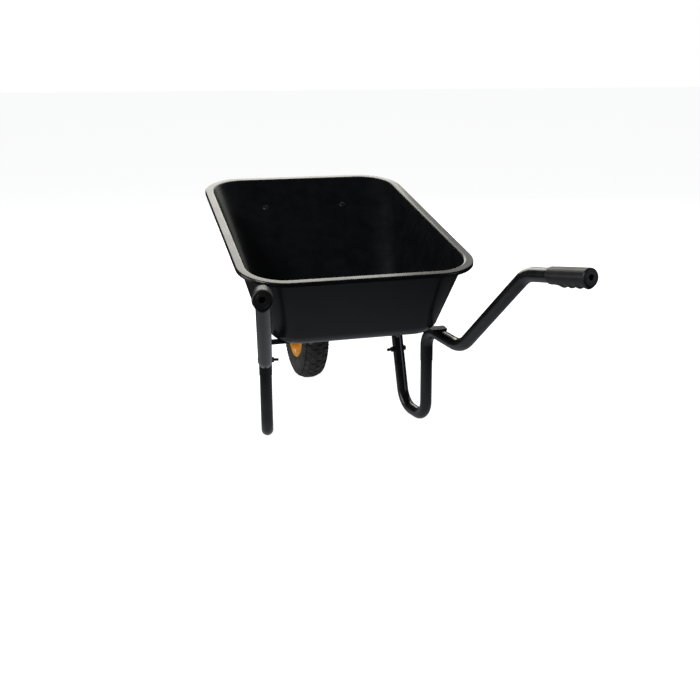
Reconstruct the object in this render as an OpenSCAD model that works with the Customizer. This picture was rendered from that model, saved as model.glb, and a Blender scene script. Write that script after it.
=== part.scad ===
/* [Side frames] */
// Outside diameter of the handle tubes
tube_d = 32; // [28:0.5:38]
// Wall thickness of every tube
tube_wall = 1.6; // [1.2:0.1:2.4]
// Angle by which each side frame opens out towards the handles, in plan
splay = 10.4; // [6:0.1:13]
// Half the distance between the two rear uprights of the legs
leg_half = 210; // [180:1:240]
// Distance from the rear uprights back to the end of the grips, along the tube's plane
handle_back = 628; // [540:1:740]
// Height of the end of the grips
handle_z = 513; // [470:1:600]
// Distance from the rear uprights back to the upper bend
upper_bend_back = 418; // [360:1:440]
// Height of the upper bend
upper_bend_z = 479; // [430:1:500]
// Distance from the rear uprights back to the knee under the tray
knee_back = 165; // [140:0.1:190]
// Height of the knee
knee_z = 249.5; // [235:0.5:258]
// Height of the rail above the rear uprights
rail_z = 260.5; // [245:0.5:290]
// Bend radius of the upper bend and of the knee, at the tube's centre line
handle_bend_r = 85; // [70:1:110]
// Bend radius where the rail turns down into the leg
rail_bend_r = 46; // [40:1:52]

/* [Legs] */
// Height of the joint between the handle tube and the leg
joint_z = 172; // [150:1:180]
// Length of the leg's reduced end inside the handle tube
rear_spigot_len = 30; // [20:1:32]
// Length of the nose tube's reduced end inside the leg's front arm
arm_spigot_len = 60; // [50:1:70]
// Step in radius from the reduced end to the full leg tube
spigot_step = 0.7; // [0.6:0.1:1.2]
// Distance between the rear upright and the foot of the front arm
foot_len = 115.5; // [100:0.5:150]
// Lean of the front arm forward of the vertical
arm_lean = 13.5; // [8:0.5:18]
// Height of the joint between the front arm and the nose tube
arm_joint_z = 206; // [200:1:215]
// Bend radius at the rear of the foot
foot_rear_r = 44; // [36:1:46]
// Bend radius at the front of the foot
foot_front_r = 56; // [45:1:58]
// Height of the leg bolt above the ground
leg_bolt_z = 164; // [150:1:185]
// Height of the spare hole in the front arm
spare_hole_z = 129; // [110:1:145]
// Diameter of the spare hole
spare_hole_d = 7; // [5:0.5:9]

/* [Nose tube] */
// Distance from the rear uprights forward to the middle of the nose tube
nose_y = 705; // [690:1:860]
// Height of the nose tube at the front
nose_z = 142; // [120:1:180]
// Bend radius from the front arm into the run under the tray
arm_bend_r = 42; // [36:1:45]
// Distance from the rear uprights to the bend that turns down to the wheel
dip_s = 264; // [255:1:280]
// Bend radius of that bend
dip_bend_r = 110; // [80:1:120]
// Bend radius of the nose tube's front corners
nose_bend_r = 60; // [45:1:70]

/* [Tray] */
// Sheet thickness of the tray
sheet = 2; // [1.2:0.1:3]
// Length over the rim, along the rim
rim_len = 765; // [640:1:900]
// Width over the rim at the rear
rim_w_rear = 580; // [540:1:700]
// Width over the rim at the front
rim_w_front = 564; // [520:1:690]
// Distance from the rear uprights back to the rim's rear edge
rim_back = 185; // [160:1:210]
// Height of the rim's rear edge above the tray's underside
rim_h_rear = 175; // [150:1:215]
// Slope of the rim relative to the floor of the tray
rim_slope = 7.4; // [4:0.1:9]
// Width of the flat flange round the rim
flange_w = 22; // [20:1:40]
// Height of the turned-down lip round the flange
lip_h = 9; // [7:0.5:12]
// Corner radius of the tray's opening, in plan
rim_corner_r = 90; // [50:1:90]
// Corner radius of the floor, in plan
floor_corner_r = 64; // [45:1:80]
// Width of the floor
floor_w = 398; // [380:1:500]
// Distance from the rear uprights back to the floor's rear edge
floor_back = 118; // [105:1:130]
// Distance from the rear uprights forward to the floor's front edge
floor_front = 252; // [250:1:300]
// Fillet between the floor and the walls
floor_fillet = 25; // [15:1:32]

/* [Tray supports] */
// Width of the rear cross strap
rear_strap_w = 28; // [25:1:50]
// Width of the front cross strap
front_strap_w = 25; // [18:1:28]
// Thickness of both cross straps
strap_t = 4; // [3:0.5:6]
// Length of the rear cross strap
rear_strap_len = 472; // [440:1:520]
// Distance from the rear uprights back to the middle of the rear strap
rear_strap_back = 67; // [55:1:75]
// Distance from the rear uprights forward to the middle of the front strap
front_strap_y = 215; // [212:1:218]
// Distance of the floor bolts from the centre plane
floor_bolt_x = 110; // [80:1:140]
// Distance of the stays and the front wall bolts from the centre plane
stay_x = 112; // [104:1:118]
// Width of each front stay
stay_w = 25; // [18:1:30]
// Thickness of each front stay
stay_t = 4; // [3:0.5:5]
// Height of the front wall bolts above the tray's underside
wall_bolt_h = 204; // [170:1:225]
// Distance from the axle forward to the foot of each stay
stay_foot = 56; // [50:1:75]

/* [Wheel] */
// Outside diameter of the tyre
tyre_d = 345; // [330:1:370]
// Width of the tyre
tyre_w = 76; // [70:1:96]
// Distance from the rear uprights forward to the axle
axle_y = 490; // [480:1:520]
// Diameter of the axle
axle_d = 16; // [12:0.5:17]
// Bead seat diameter of the rim
bead_d = 203; // [196:1:208]
// Length of the hub
hub_len = 100; // [84:1:120]
// Diameter of the hub
hub_d = 45; // [43:1:50]
// Distance of the axle bracket's plate from the tube's centre line
bracket_inset = 14; // [10:0.5:16]
// Thickness of the axle bracket's plate
bracket_t = 5; // [4:0.5:6]

/* [Grips] */
// Length of each grip
grip_len = 125; // [105:1:140]
// Outside diameter of each grip
grip_d = 39; // [38:0.5:46]

/* [Fasteners] */
// Thread diameter of the frame and tray bolts
bolt_d = 8; // [6:1:9]
// Clearance round a bolt in its hole, in radius
hole_clear = 0.4; // [0.2:0.05:0.6]

/* [Hidden] */
$fn = 64;

paint = "#17181a";
plated = "#b9bcbf";
grip_colour = "#101011";
tyre_colour = "#1c1c1b";
rim_colour = "#e39a1e";

fit = 0.1;              // radial play of a reduced end in the tube round it
lap = 0.2;              // length by which a straight run reaches into the bend after it
bend_thin = 0.25;       // wall lost on each side of a tube in a bend
neck_len = 3;           // length of the swaged neck inside the full tube
press = 0.03;           // radial play of a seated bearing or a pushed-on grip
run = 0.06;             // radial play of a running fit
weld_gap = 0.05;        // play between a welded plate and the tube it is cut to
grip_end = 4;           // thickness of the closed end of a grip
head_h = 5.5;           // height of a hexagon bolt head
nut_h = 7;              // height of a frame nut
washer_t = 1.6;         // thickness of a frame washer
dome_h = 3.2;         // height of a domed bolt head

spigot_d = tube_d - 2 * tube_wall - 2 * fit;
leg_d = spigot_d + 2 * spigot_step;
nose_spigot_d = leg_d - 2 * tube_wall - 2 * fit;
tube_r = tube_d / 2;
leg_r = leg_d / 2;
bolt_r = bolt_d / 2;
bolt_af = 1.625 * bolt_d;

// Slope of the rail in the side plane and of the tray's floor in the middle plane
rail_slope = atan((rail_z - knee_z) / knee_back);
floor_tilt = atan(tan(rail_slope) / cos(splay));
tray_z = rail_z + (tube_r + strap_t) / cos(floor_tilt);

// The front arm's and the nose tube's corners, in the side plane as [forward, up]
function arm_s(z) = foot_len + (z - leg_r) * tan(arm_lean);
run_z0 = rail_z + (tube_r - leg_r) / cos(rail_slope);
arm_top_s = (foot_len + (run_z0 - leg_r) * tan(arm_lean)) / (1 - tan(rail_slope) * tan(arm_lean));
arm_top = [arm_top_s, run_z0 + arm_top_s * tan(rail_slope)];
dip = [dip_s, run_z0 + dip_s * tan(rail_slope)];
nose_s = nose_y / cos(splay);
dip_angle = atan((dip[1] - nose_z) / (nose_s - dip_s));
nose_tilt = atan(tan(dip_angle) / cos(splay));
nose_toe = asin(sin(splay) * cos(dip_angle));
nose_half = leg_half - nose_s * sin(splay);
nose_tangent = nose_bend_r * tan((90 - nose_toe) / 2);
function nose_tube_z(y) = dip[1] - (y / cos(splay) - dip_s) * tan(dip_angle);
function side_x(y) = leg_half - y * tan(splay);

// Tray values in its own frame, which is tilted with the floor
rim_y0 = -rim_back;
rim_y1 = rim_y0 + rim_len * cos(rim_slope);
function rim_z(y) = rim_h_rear + (y - rim_y0) * tan(rim_slope);
function to_world(p) = [
    p[0] * cos(floor_tilt) - p[1] * sin(floor_tilt),
    tray_z + p[0] * sin(floor_tilt) + p[1] * cos(floor_tilt)
];
wall_foot = [floor_front, sheet];
wall_head = [rim_y1 - flange_w, rim_z(rim_y1 - flange_w)];
wall_angle = atan2(wall_head[1] - wall_foot[1], wall_head[0] - wall_foot[0]);
wall_bolt_y = floor_front + (wall_bolt_h - sheet) / tan(wall_angle);
floor_bolt_ys = [-rear_strap_back + 4, front_strap_y];

// Wheel and axle
tyre_r = tyre_d / 2;
axle_r = axle_d / 2;
bracket_x = side_x(axle_y) - bracket_inset;
bracket_w = 50;
bracket_eye_r = 22;
axle_washer_t = 2.5;
axle_head_h = 10;
axle_nut_h = 13;
axle_af = 1.5 * axle_d;
bearing_w = 11;
bearing_r = 17.5;
ball_r = 3;
ball_path_r = 13;
ball_count = 8;
race_gap = 1.8;
bearing_x = hub_len / 2 - bearing_w;
hub_flange_r = 52;
hub_flange_t = 5;
rim_t = 2.5;
rim_half_w = 30;
rim_flange_h = 9;
rim_bolt_count = 4;
rim_bolt_path = 38;
bead_r = bead_d / 2;
tyre_mid_r = (tyre_r + bead_r) / 2;
valve_x = 14;
valve_r = 3.2;
tube_section_r = 27;

// Rearmost and foremost points set the origin under the middle of the whole object
rear_y = -handle_back * cos(splay) - grip_d / 2 * sin(8);
front_y = nose_y + leg_r;
mid_y = (rear_y + front_y) / 2;

module place() {
    translate([0, -mid_y, 0]) children();
}

// The right side frame's plane: local Y runs forward along it, local X points out of it
module side_plane() {
    translate([leg_half, 0, 0]) rotate([0, 0, splay]) children();
}

module mirrored_pair() {
    children();
    mirror([1, 0, 0]) children();
}

module ring_2d(d, wall) {
    difference() {
        circle(d = d);
        circle(d = d - 2 * wall);
    }
}

// The wall thins a little in a bend, as it does on the bender, so each straight run closes over the bend
module bend_2d(d, wall) {
    ring_2d(d - 2 * bend_thin, wall - 2 * bend_thin);
}

function heading(a, b) = atan2(b[1] - a[1], b[0] - a[0]);
function turned(a) = a > 180 ? a - 360 : a <= -180 ? a + 360 : a;
function turn_at(p, i) = turned(heading(p[i], p[i + 1]) - heading(p[i - 1], p[i]));
function tangent_at(p, radii, i) =
    i == 0 || i == len(p) - 1 ? 0 : radii[i - 1] * tan(abs(turn_at(p, i)) / 2);

// A round tube along straight runs joined by bends, in the YZ plane
module bent_tube(p, radii, d, wall, end_trim = 0) {
    for (i = [0 : len(p) - 2]) {
        a = heading(p[i], p[i + 1]);
        t0 = tangent_at(p, radii, i);
        t1 = i == len(p) - 2 ? end_trim : tangent_at(p, radii, i + 1);
        lap0 = i == 0 ? 0 : lap;
        lap1 = i == len(p) - 2 ? 0 : lap;
        start = p[i] + (t0 - lap0) * [cos(a), sin(a)];
        translate([0, start[0], start[1]])
            rotate([a - 90, 0, 0])
                linear_extrude(norm(p[i + 1] - p[i]) - t0 - t1 + lap0 + lap1) ring_2d(d, wall);
    }
    for (i = [1 : 1 : len(p) - 2]) {
        a = heading(p[i - 1], p[i]);
        turn = turn_at(p, i);
        side = turn > 0 ? 1 : -1;
        start = p[i] - tangent_at(p, radii, i) * [cos(a), sin(a)];
        centre = start + side * radii[i - 1] * [-sin(a), cos(a)];
        translate([0, centre[0], centre[1]])
            rotate([90, 0, 90])
                rotate([0, 0, side > 0 ? a - 90 : a + 90 + turn])
                    rotate_extrude(angle = abs(turn))
                        translate([radii[i - 1], 0]) bend_2d(d, wall);
    }
}

// Outline of a strip of constant thickness along a bent line, on the line's left side
function offset_at(p, i, t) =
    let (
        a = heading(p[max(i - 1, 0)], p[max(i, 1)]),
        b = heading(p[min(i, len(p) - 2)], p[min(i + 1, len(p) - 1)]),
        m = a + turned(b - a) / 2
    ) p[i] + t / cos(turned(b - a) / 2) * [-sin(m), cos(m)];
function strip(p, t) = concat(p, [for (i = [len(p) - 1 : -1 : 0]) offset_at(p, i, t)]);

module bolt(d, length, af, head) {
    cylinder(d = d, h = length);
    translate([0, 0, -head]) cylinder(d = af / cos(30), h = head, $fn = 6);
}

module dome_bolt(d, length) {
    cylinder(d = d, h = length);
    dome_r = d + 1;
    arc = [for (a = [0 : 15 : 75]) [dome_r * cos(a), dome_h * (1 - sin(a))]];
    translate([0, 0, -dome_h])
        rotate_extrude()
            polygon(concat([[0, dome_h]], arc, [[0, arc[len(arc) - 1][1]]]));
}

module hex_nut(d, af, h) {
    difference() {
        cylinder(d = af / cos(30), h = h, $fn = 6);
        translate([0, 0, -1]) cylinder(d = d + 2 * fit, h = h + 2);
    }
}

module washer(d, outer, t) {
    difference() {
        cylinder(d = outer, h = t);
        translate([0, 0, -1]) cylinder(d = d + 2 * fit, h = t + 2);
    }
}

// ---- Handles and legs ----

grip_axis = heading([-upper_bend_back, upper_bend_z], [-handle_back, handle_z]);

// The swaged end of a tube, on local Z: it starts inside the full tube and fits into the next one
module reduced_end(full_d, end_d, length) {
    inner = end_d / 2 - tube_wall;
    shoulder = (full_d - tube_wall) / 2;
    rotate_extrude()
        polygon([
            [inner, -neck_len], [shoulder, -neck_len], [shoulder, 0],
            [end_d / 2, 0], [end_d / 2, length], [inner, length]
        ]);
}

module handle_tube() {
    side_plane()
        bent_tube(
            [
                [0, joint_z], [0, rail_z], [-knee_back, knee_z],
                [-upper_bend_back, upper_bend_z], [-handle_back, handle_z]
            ],
            [rail_bend_r, handle_bend_r, handle_bend_r],
            tube_d, tube_wall, grip_end
        );
}

module handle_tube_right() {
    color(paint) place() handle_tube();
}

module handle_tube_left() {
    color(paint) place() mirror([1, 0, 0]) handle_tube();
}

// Sleeve with a rounded end, a plain collar and shallow finger grooves
module grip() {
    r = grip_d / 2;
    inner = tube_r + press;
    collar = 14;
    grooves = 4;
    pitch = (grip_len - collar - 18) / grooves;
    wave = [
        for (g = [0 : grooves - 1], k = [0 : 7])
            [r - 1 + cos(k * 45), collar + 4 + (g + k / 8) * pitch]
    ];
    rotate_extrude()
        polygon(concat(
            [[inner, 0], [r - 2, 0], [r, 2], [r, collar]],
            wave,
            [[r, grip_len - 12], [r, grip_len - 3], [r - 3, grip_len], [2.5, grip_len]],
            [[2.5, grip_len - grip_end], [inner, grip_len - grip_end]]
        ));
}

module seated_grip() {
    side_plane()
        translate([0, -handle_back, handle_z])
            rotate([grip_axis - 90, 0, 0])
                translate([0, 0, -grip_len]) grip();
}

module grip_right() {
    color(grip_colour) place() seated_grip();
}

module grip_left() {
    color(grip_colour) place() mirror([1, 0, 0]) seated_grip();
}

// Runs its children along the outward normal of the side plane, from the front arm's centre line
module across_arm(z) {
    side_plane() translate([0, arm_s(z), z]) rotate([0, 90, 0]) children();
}

module leg_tube() {
    difference() {
        side_plane() {
            bent_tube(
                [[0, joint_z], [0, leg_r], [foot_len, leg_r], [arm_s(arm_joint_z), arm_joint_z]],
                [foot_rear_r, foot_front_r],
                leg_d, tube_wall
            );
            translate([0, 0, joint_z]) reduced_end(leg_d, spigot_d, rear_spigot_len);
        }
        across_arm(leg_bolt_z) cylinder(r = bolt_r + hole_clear, h = 2 * leg_d, center = true);
        across_arm(spare_hole_z) cylinder(d = spare_hole_d, h = 2 * leg_d, center = true);
    }
}

module leg_tube_right() {
    color(paint) place() leg_tube();
}

module leg_tube_left() {
    color(paint) place() mirror([1, 0, 0]) leg_tube();
}

module leg_bolts() {
    length = leg_d + nut_h + 12;
    color(plated) place() mirrored_pair()
        across_arm(leg_bolt_z)
            translate([0, 0, leg_r]) mirror([0, 0, 1]) bolt(bolt_d, length, bolt_af, head_h);
}

module leg_nuts() {
    color(plated) place() mirrored_pair()
        across_arm(leg_bolt_z) translate([0, 0, -leg_r - nut_h]) hex_nut(bolt_d, bolt_af, nut_h);
}

// ---- Nose tube and brackets ----

module nose_side() {
    side_plane() {
        start = [arm_s(arm_joint_z), arm_joint_z];
        bent_tube(
            [start, arm_top, dip, [nose_s, nose_z]],
            [arm_bend_r, dip_bend_r],
            leg_d, tube_wall, nose_tangent - lap
        );
        translate([0, start[0], start[1]])
            rotate([180 - arm_lean, 0, 0]) reduced_end(leg_d, nose_spigot_d, arm_spigot_len);
    }
    translate([0, nose_y, nose_z])
        rotate([-nose_tilt, 0, 0])
            translate([nose_half - nose_tangent, -nose_bend_r, 0])
                rotate([0, 0, nose_toe])
                    rotate_extrude(angle = 90 - nose_toe)
                        translate([nose_bend_r, 0]) bend_2d(leg_d, tube_wall);
}

module nose_tube() {
    half = nose_half - nose_tangent + lap;
    color(paint) place() difference() {
        union() {
            mirrored_pair() nose_side();
            translate([-half, nose_y, nose_z])
                rotate([0, 90, 0]) linear_extrude(2 * half) ring_2d(leg_d, tube_wall);
        }
        mirrored_pair() {
            across_arm(leg_bolt_z) cylinder(r = bolt_r + hole_clear, h = 2 * leg_d, center = true);
            at_stay_foot() cylinder(r = bolt_r + hole_clear, h = 3 * leg_d, center = true);
        }
    }
}

// The stay's foot: local Z is square to the nose tube, on its top line
stay_foot_y = axle_y + stay_foot;
stay_foot_z = nose_tube_z(stay_foot_y);

module at_stay_foot() {
    translate([side_x(stay_foot_y), stay_foot_y, stay_foot_z]) rotate([-nose_tilt, 0, 0]) children();
}

module axle_bracket() {
    top = nose_tube_z(axle_y) + 8;
    difference() {
        union() {
            translate([bracket_x - bracket_t / 2, axle_y, tyre_r])
                rotate([0, 90, 0]) cylinder(r = bracket_eye_r, h = bracket_t);
            translate([bracket_x - bracket_t / 2, 0, 0])
                rotate([90, 0, 90])
                    linear_extrude(bracket_t)
                        polygon([
                            [axle_y - bracket_eye_r, tyre_r], [axle_y + bracket_eye_r, tyre_r],
                            [axle_y + bracket_w / 2, top], [axle_y - bracket_w / 2, top]
                        ]);
        }
        side_plane()
            translate([0, dip_s, dip[1]])
                rotate([-90 - dip_angle, 0, 0])
                    cylinder(r = leg_r + weld_gap, h = nose_s);
        translate([0, axle_y, tyre_r])
            rotate([0, 90, 0]) cylinder(r = axle_r + hole_clear, h = 2 * leg_half);
    }
}

module axle_bracket_right() {
    color(paint) place() axle_bracket();
}

module axle_bracket_left() {
    color(paint) place() mirror([1, 0, 0]) axle_bracket();
}

// ---- Tray and its supports ----

module tray_frame() {
    translate([0, 0, tray_z]) rotate([floor_tilt, 0, 0]) children();
}

// A rounded rectangle with its own half width at the rear and at the front, as [x, y] points
corner_steps = 10;
function rounded_ring(y0, y1, w0, w1, r) = [
    for (q = [0 : 3], k = [0 : corner_steps])
        let (
            a = 90 * (q + k / corner_steps),
            front = q < 2,
            right = q == 0 || q == 3,
            cx = (right ? 1 : -1) * ((front ? w1 : w0) - r),
            cy = front ? y1 - r : y0 + r
        ) [cx + r * cos(a), cy + r * sin(a)]
];
function blend_rings(a, b, c, t) = [
    for (i = [0 : len(a) - 1])
        (1 - t) * (1 - t) * a[i] + 2 * t * (1 - t) * b[i] + t * t * c[i]
];
// Each point of ring a moved towards ring b by a distance
function towards(a, b, d) = [for (i = [0 : len(a) - 1]) a[i] + d * (b[i] - a[i]) / norm(b[i] - a[i])];
function level(ring, z) = [for (p = ring) [p[0], p[1], z]];
function on_rim(ring, drop = 0) = [for (p = ring) [p[0], p[1], rim_z(p[1]) - drop]];
function wrap(a, i) = a[(i + len(a)) % len(a)];

rim_bend = 6;
lip_bend = 4;
floor_half = floor_w / 2;
flat_ring = level(
    rounded_ring(
        -floor_back + floor_fillet, floor_front - floor_fillet, floor_half - floor_fillet,
        floor_half - floor_fillet, floor_corner_r - floor_fillet
    ), sheet);
edge_ring = level(rounded_ring(-floor_back, floor_front, floor_half, floor_half, floor_corner_r), sheet);
opening_ring = on_rim(rounded_ring(
    rim_y0 + flange_w, rim_y1 - flange_w, rim_w_rear / 2 - flange_w, rim_w_front / 2 - flange_w, rim_corner_r));
flange_ring = on_rim(rounded_ring(rim_y0, rim_y1, rim_w_rear / 2, rim_w_front / 2, rim_corner_r + flange_w));
lip_ring = on_rim(rounded_ring(rim_y0, rim_y1, rim_w_rear / 2, rim_w_front / 2, rim_corner_r + flange_w), lip_h);

upper_skin = concat(
    [for (t = [0 : 0.25 : 1]) blend_rings(flat_ring, edge_ring, towards(edge_ring, opening_ring, floor_fillet), t)],
    [for (t = [0 : 0.25 : 1]) blend_rings(
        towards(opening_ring, edge_ring, rim_bend), opening_ring,
        towards(opening_ring, flange_ring, rim_bend), t)],
    [for (t = [0 : 0.25 : 1]) blend_rings(
        towards(flange_ring, opening_ring, lip_bend), flange_ring,
        towards(flange_ring, lip_ring, lip_bend), t)],
    [lip_ring]
);
ring_count = len(upper_skin);
ring_size = len(flat_ring);
function skin_normal(k, i) =
    k == 0 ? [0, 0, -1] :
    let (
        across = upper_skin[min(k + 1, ring_count - 1)][i] - upper_skin[k - 1][i],
        along = wrap(upper_skin[k], i + 1) - wrap(upper_skin[k], i - 1),
        n = cross(along, across)
    ) n / norm(n);
lower_skin = [
    for (k = [0 : ring_count - 1])
        [for (i = [0 : ring_size - 1]) upper_skin[k][i] + sheet * skin_normal(k, i)]
];

module tray_shell() {
    half = ring_count * ring_size;
    last = (ring_count - 1) * ring_size;
    points = concat([for (ring = upper_skin) each ring], [for (ring = lower_skin) each ring]);
    walls = [
        for (k = [0 : ring_count - 2], i = [0 : ring_size - 1])
            let (
                j = (i + 1) % ring_size,
                a = k * ring_size + i, b = k * ring_size + j,
                c = b + ring_size, d = a + ring_size
            ) each [
                [a, b, c], [a, c, d],
                [half + d, half + c, half + b], [half + d, half + b, half + a]
            ]
    ];
    edge = [
        for (i = [0 : ring_size - 1])
            let (j = (i + 1) % ring_size)
                each [[last + i, last + j, half + last + j], [last + i, half + last + j, half + last + i]]
    ];
    floors = [
        [for (i = [ring_size - 1 : -1 : 0]) i],
        [for (i = [0 : ring_size - 1]) half + i]
    ];
    polyhedron(points, concat(walls, edge, floors));
}

// Places its children at the four floor bolts, with local Z up through the floor
module at_floor_bolts() {
    tray_frame()
        for (x = [-floor_bolt_x, floor_bolt_x], y = floor_bolt_ys) translate([x, y, 0]) children();
}

// Places its children at the two front wall bolts: local Z runs out through the wall, from its outer face
module at_wall_bolts() {
    tray_frame()
        mirrored_pair()
            translate([stay_x, wall_bolt_y, wall_bolt_h])
                rotate([wall_angle - 180, 0, 0]) translate([0, 0, sheet]) children();
}

module tray() {
    color(paint) place() difference() {
        tray_frame() tray_shell();
        at_floor_bolts() cylinder(r = bolt_r + hole_clear, h = 20, center = true);
        at_wall_bolts() cylinder(r = bolt_r + hole_clear, h = 20, center = true);
    }
}

module cross_strap(y, length, width) {
    difference() {
        tray_frame()
            translate([-length / 2, y - width / 2, -strap_t]) cube([length, width, strap_t]);
        at_floor_bolts() cylinder(r = bolt_r + hole_clear, h = 20, center = true);
    }
}

module rear_cross_strap() {
    color(paint) place() cross_strap(-rear_strap_back, rear_strap_len, rear_strap_w);
}

module front_cross_strap() {
    color(paint) place() cross_strap(front_strap_y, 2 * side_x(front_strap_y) + leg_d, front_strap_w);
}

module floor_bolts() {
    length = sheet + strap_t + washer_t + nut_h + 4;
    color(plated) place()
        at_floor_bolts() translate([0, 0, sheet]) mirror([0, 0, 1]) dome_bolt(bolt_d, length);
}

module floor_washers() {
    color(plated) place()
        at_floor_bolts() translate([0, 0, -strap_t - washer_t]) washer(bolt_d, 2.2 * bolt_d, washer_t);
}

module floor_nuts() {
    color(plated) place()
        at_floor_bolts()
            translate([0, 0, -strap_t - washer_t - nut_h]) hex_nut(bolt_d, bolt_af, nut_h);
}

// Bent flat bar: a tab under the front wall, a long leg, and a foot on the nose tube
module front_stay() {
    tab = 26;
    foot_half = 20;
    slope = wall_angle + floor_tilt;
    along = [cos(slope), sin(slope)];
    below = [sin(slope), -cos(slope)];
    seat = to_world([wall_bolt_y, wall_bolt_h]) + sheet * below;
    flat = [cos(nose_tilt), -sin(nose_tilt)];
    foot = [stay_foot_y, stay_foot_z] + leg_r * [sin(nose_tilt), cos(nose_tilt)];
    difference() {
        translate([stay_x - stay_w / 2, 0, 0])
            rotate([90, 0, 90])
                linear_extrude(stay_w)
                    polygon(strip(
                        [foot + foot_half * flat, foot - foot_half * flat, seat - tab / 2 * along, seat + tab / 2 * along],
                        -stay_t
                    ));
        at_wall_bolts() cylinder(r = bolt_r + hole_clear, h = 40, center = true);
        at_stay_foot() cylinder(r = bolt_r + hole_clear, h = 3 * leg_d, center = true);
    }
}

module front_stay_right() {
    color(paint) place() front_stay();
}

module front_stay_left() {
    color(paint) place() mirror([1, 0, 0]) front_stay();
}

module stay_wall_bolts() {
    length = sheet + stay_t + nut_h + 4;
    color(paint) place()
        at_wall_bolts() translate([0, 0, -sheet]) dome_bolt(bolt_d, length);
}

module stay_wall_nuts() {
    color(plated) place()
        at_wall_bolts() translate([0, 0, stay_t]) hex_nut(bolt_d, bolt_af, nut_h);
}

module stay_foot_bolts() {
    length = leg_d + stay_t + nut_h + 4;
    color(plated) place() mirrored_pair()
        at_stay_foot()
            translate([0, 0, leg_r + stay_t]) mirror([0, 0, 1]) bolt(bolt_d, length, bolt_af, head_h);
}

module stay_foot_nuts() {
    color(plated) place() mirrored_pair()
        at_stay_foot() translate([0, 0, -leg_r - nut_h]) hex_nut(bolt_d, bolt_af, nut_h);
}

// ---- Axle ----

// Local Z runs along the axle towards the right
module at_axle() {
    place() translate([0, axle_y, tyre_r]) rotate([0, 90, 0]) children();
}

bracket_outer = bracket_x + bracket_t / 2;
bracket_inner = bracket_x - bracket_t / 2;

module axle() {
    reach = bracket_outer + axle_washer_t;
    color(plated) at_axle() {
        translate([0, 0, -reach - axle_nut_h - 5]) cylinder(r = axle_r, h = 2 * reach + axle_nut_h + 5);
        translate([0, 0, reach]) cylinder(d = axle_af / cos(30), h = axle_head_h, $fn = 6);
    }
}

module axle_washers() {
    color(plated) at_axle() {
        translate([0, 0, bracket_outer]) washer(axle_d, 2 * axle_d, axle_washer_t);
        translate([0, 0, -bracket_outer - axle_washer_t]) washer(axle_d, 2 * axle_d, axle_washer_t);
    }
}

module axle_nut() {
    color(plated) at_axle()
        translate([0, 0, -bracket_outer - axle_washer_t - axle_nut_h]) hex_nut(axle_d, axle_af, axle_nut_h);
}

module spacer_tube(z0, z1) {
    translate([0, 0, z0]) linear_extrude(z1 - z0) difference() {
        circle(r = axle_r + 4);
        circle(r = axle_r + fit);
    }
}

module spacer_right() {
    color(plated) at_axle() spacer_tube(hub_len / 2, bracket_inner);
}

module spacer_left() {
    color(plated) at_axle() spacer_tube(-bracket_inner, -hub_len / 2);
}

module hub_spacer() {
    color(plated) at_axle() spacer_tube(-bearing_x, bearing_x);
}

// ---- Bearings ----

module both_bearings() {
    for (z = [bearing_x, -bearing_x - bearing_w]) translate([0, 0, z]) children();
}

module race(r0, r1) {
    rotate_extrude()
        difference() {
            translate([r0, 0]) square([r1 - r0, bearing_w]);
            translate([ball_path_r, bearing_w / 2]) circle(r = ball_r + run);
        }
}

module bearing_inner_races() {
    color(plated) at_axle() both_bearings() race(axle_r + press, ball_path_r - race_gap);
}

module bearing_outer_races() {
    color(plated) at_axle() both_bearings() race(ball_path_r + race_gap, bearing_r);
}

module bearing_balls() {
    color(plated) at_axle() both_bearings()
        for (k = [0 : ball_count - 1])
            rotate([0, 0, 360 * k / ball_count]) translate([ball_path_r, 0, bearing_w / 2]) sphere(r = ball_r);
}

// ---- Wheel ----

module hub() {
    seat = bearing_r + press;
    shoulder = bearing_r - 1.5;
    half = hub_len / 2;
    color(rim_colour) at_axle() difference() {
        rotate_extrude()
            polygon([
                [seat, half], [seat, bearing_x], [shoulder, bearing_x], [shoulder, -bearing_x],
                [seat, -bearing_x], [seat, -half], [hub_d / 2, -half], [hub_d / 2, -hub_flange_t / 2],
                [hub_flange_r, -hub_flange_t / 2], [hub_flange_r, hub_flange_t / 2],
                [hub_d / 2, hub_flange_t / 2], [hub_d / 2, half]
            ]);
        at_rim_bolts() cylinder(r = bolt_r + hole_clear, h = 4 * hub_flange_t, center = true);
    }
}

module at_rim_bolts() {
    for (k = [0 : rim_bolt_count - 1])
        rotate([0, 0, 360 * (k + 0.5) / rim_bolt_count]) translate([rim_bolt_path, 0, 0]) children();
}

// Pressed disc: a flat web on the hub's flange, a sloping well, a bead seat and a turned-out flange
module rim_half() {
    web = hub_flange_t / 2;
    well_r = bead_r - 12;
    seat_r = bead_r - 0.6;
    rotate_extrude()
        polygon(strip(
            [
                [hub_d / 2 + 0.3, web], [well_r, web], [seat_r - 2, web + 7],
                [seat_r, rim_half_w - 1.5], [seat_r + rim_flange_h, rim_half_w + 1]
            ],
            rim_t
        ));
}

module rim_half_right() {
    color(rim_colour) at_axle() difference() {
        rim_half();
        at_rim_bolts() cylinder(r = bolt_r + hole_clear, h = 4 * hub_flange_t, center = true);
    }
}

module rim_half_left() {
    color(rim_colour) at_axle() difference() {
        mirror([0, 0, 1]) rim_half();
        at_rim_bolts() cylinder(r = bolt_r + hole_clear, h = 4 * hub_flange_t, center = true);
        at_valve() cylinder(r = valve_r + hole_clear, h = 2 * bead_r);
    }
}

module rim_bolts() {
    stack = hub_flange_t + 2 * rim_t;
    color(plated) at_axle()
        at_rim_bolts()
            translate([0, 0, stack / 2])
                mirror([0, 0, 1]) bolt(bolt_d, stack + nut_h + 3, bolt_af, head_h);
}

module rim_nuts() {
    color(plated) at_axle()
        at_rim_bolts()
            translate([0, 0, -hub_flange_t / 2 - rim_t - nut_h]) hex_nut(bolt_d, bolt_af, nut_h);
}

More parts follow.
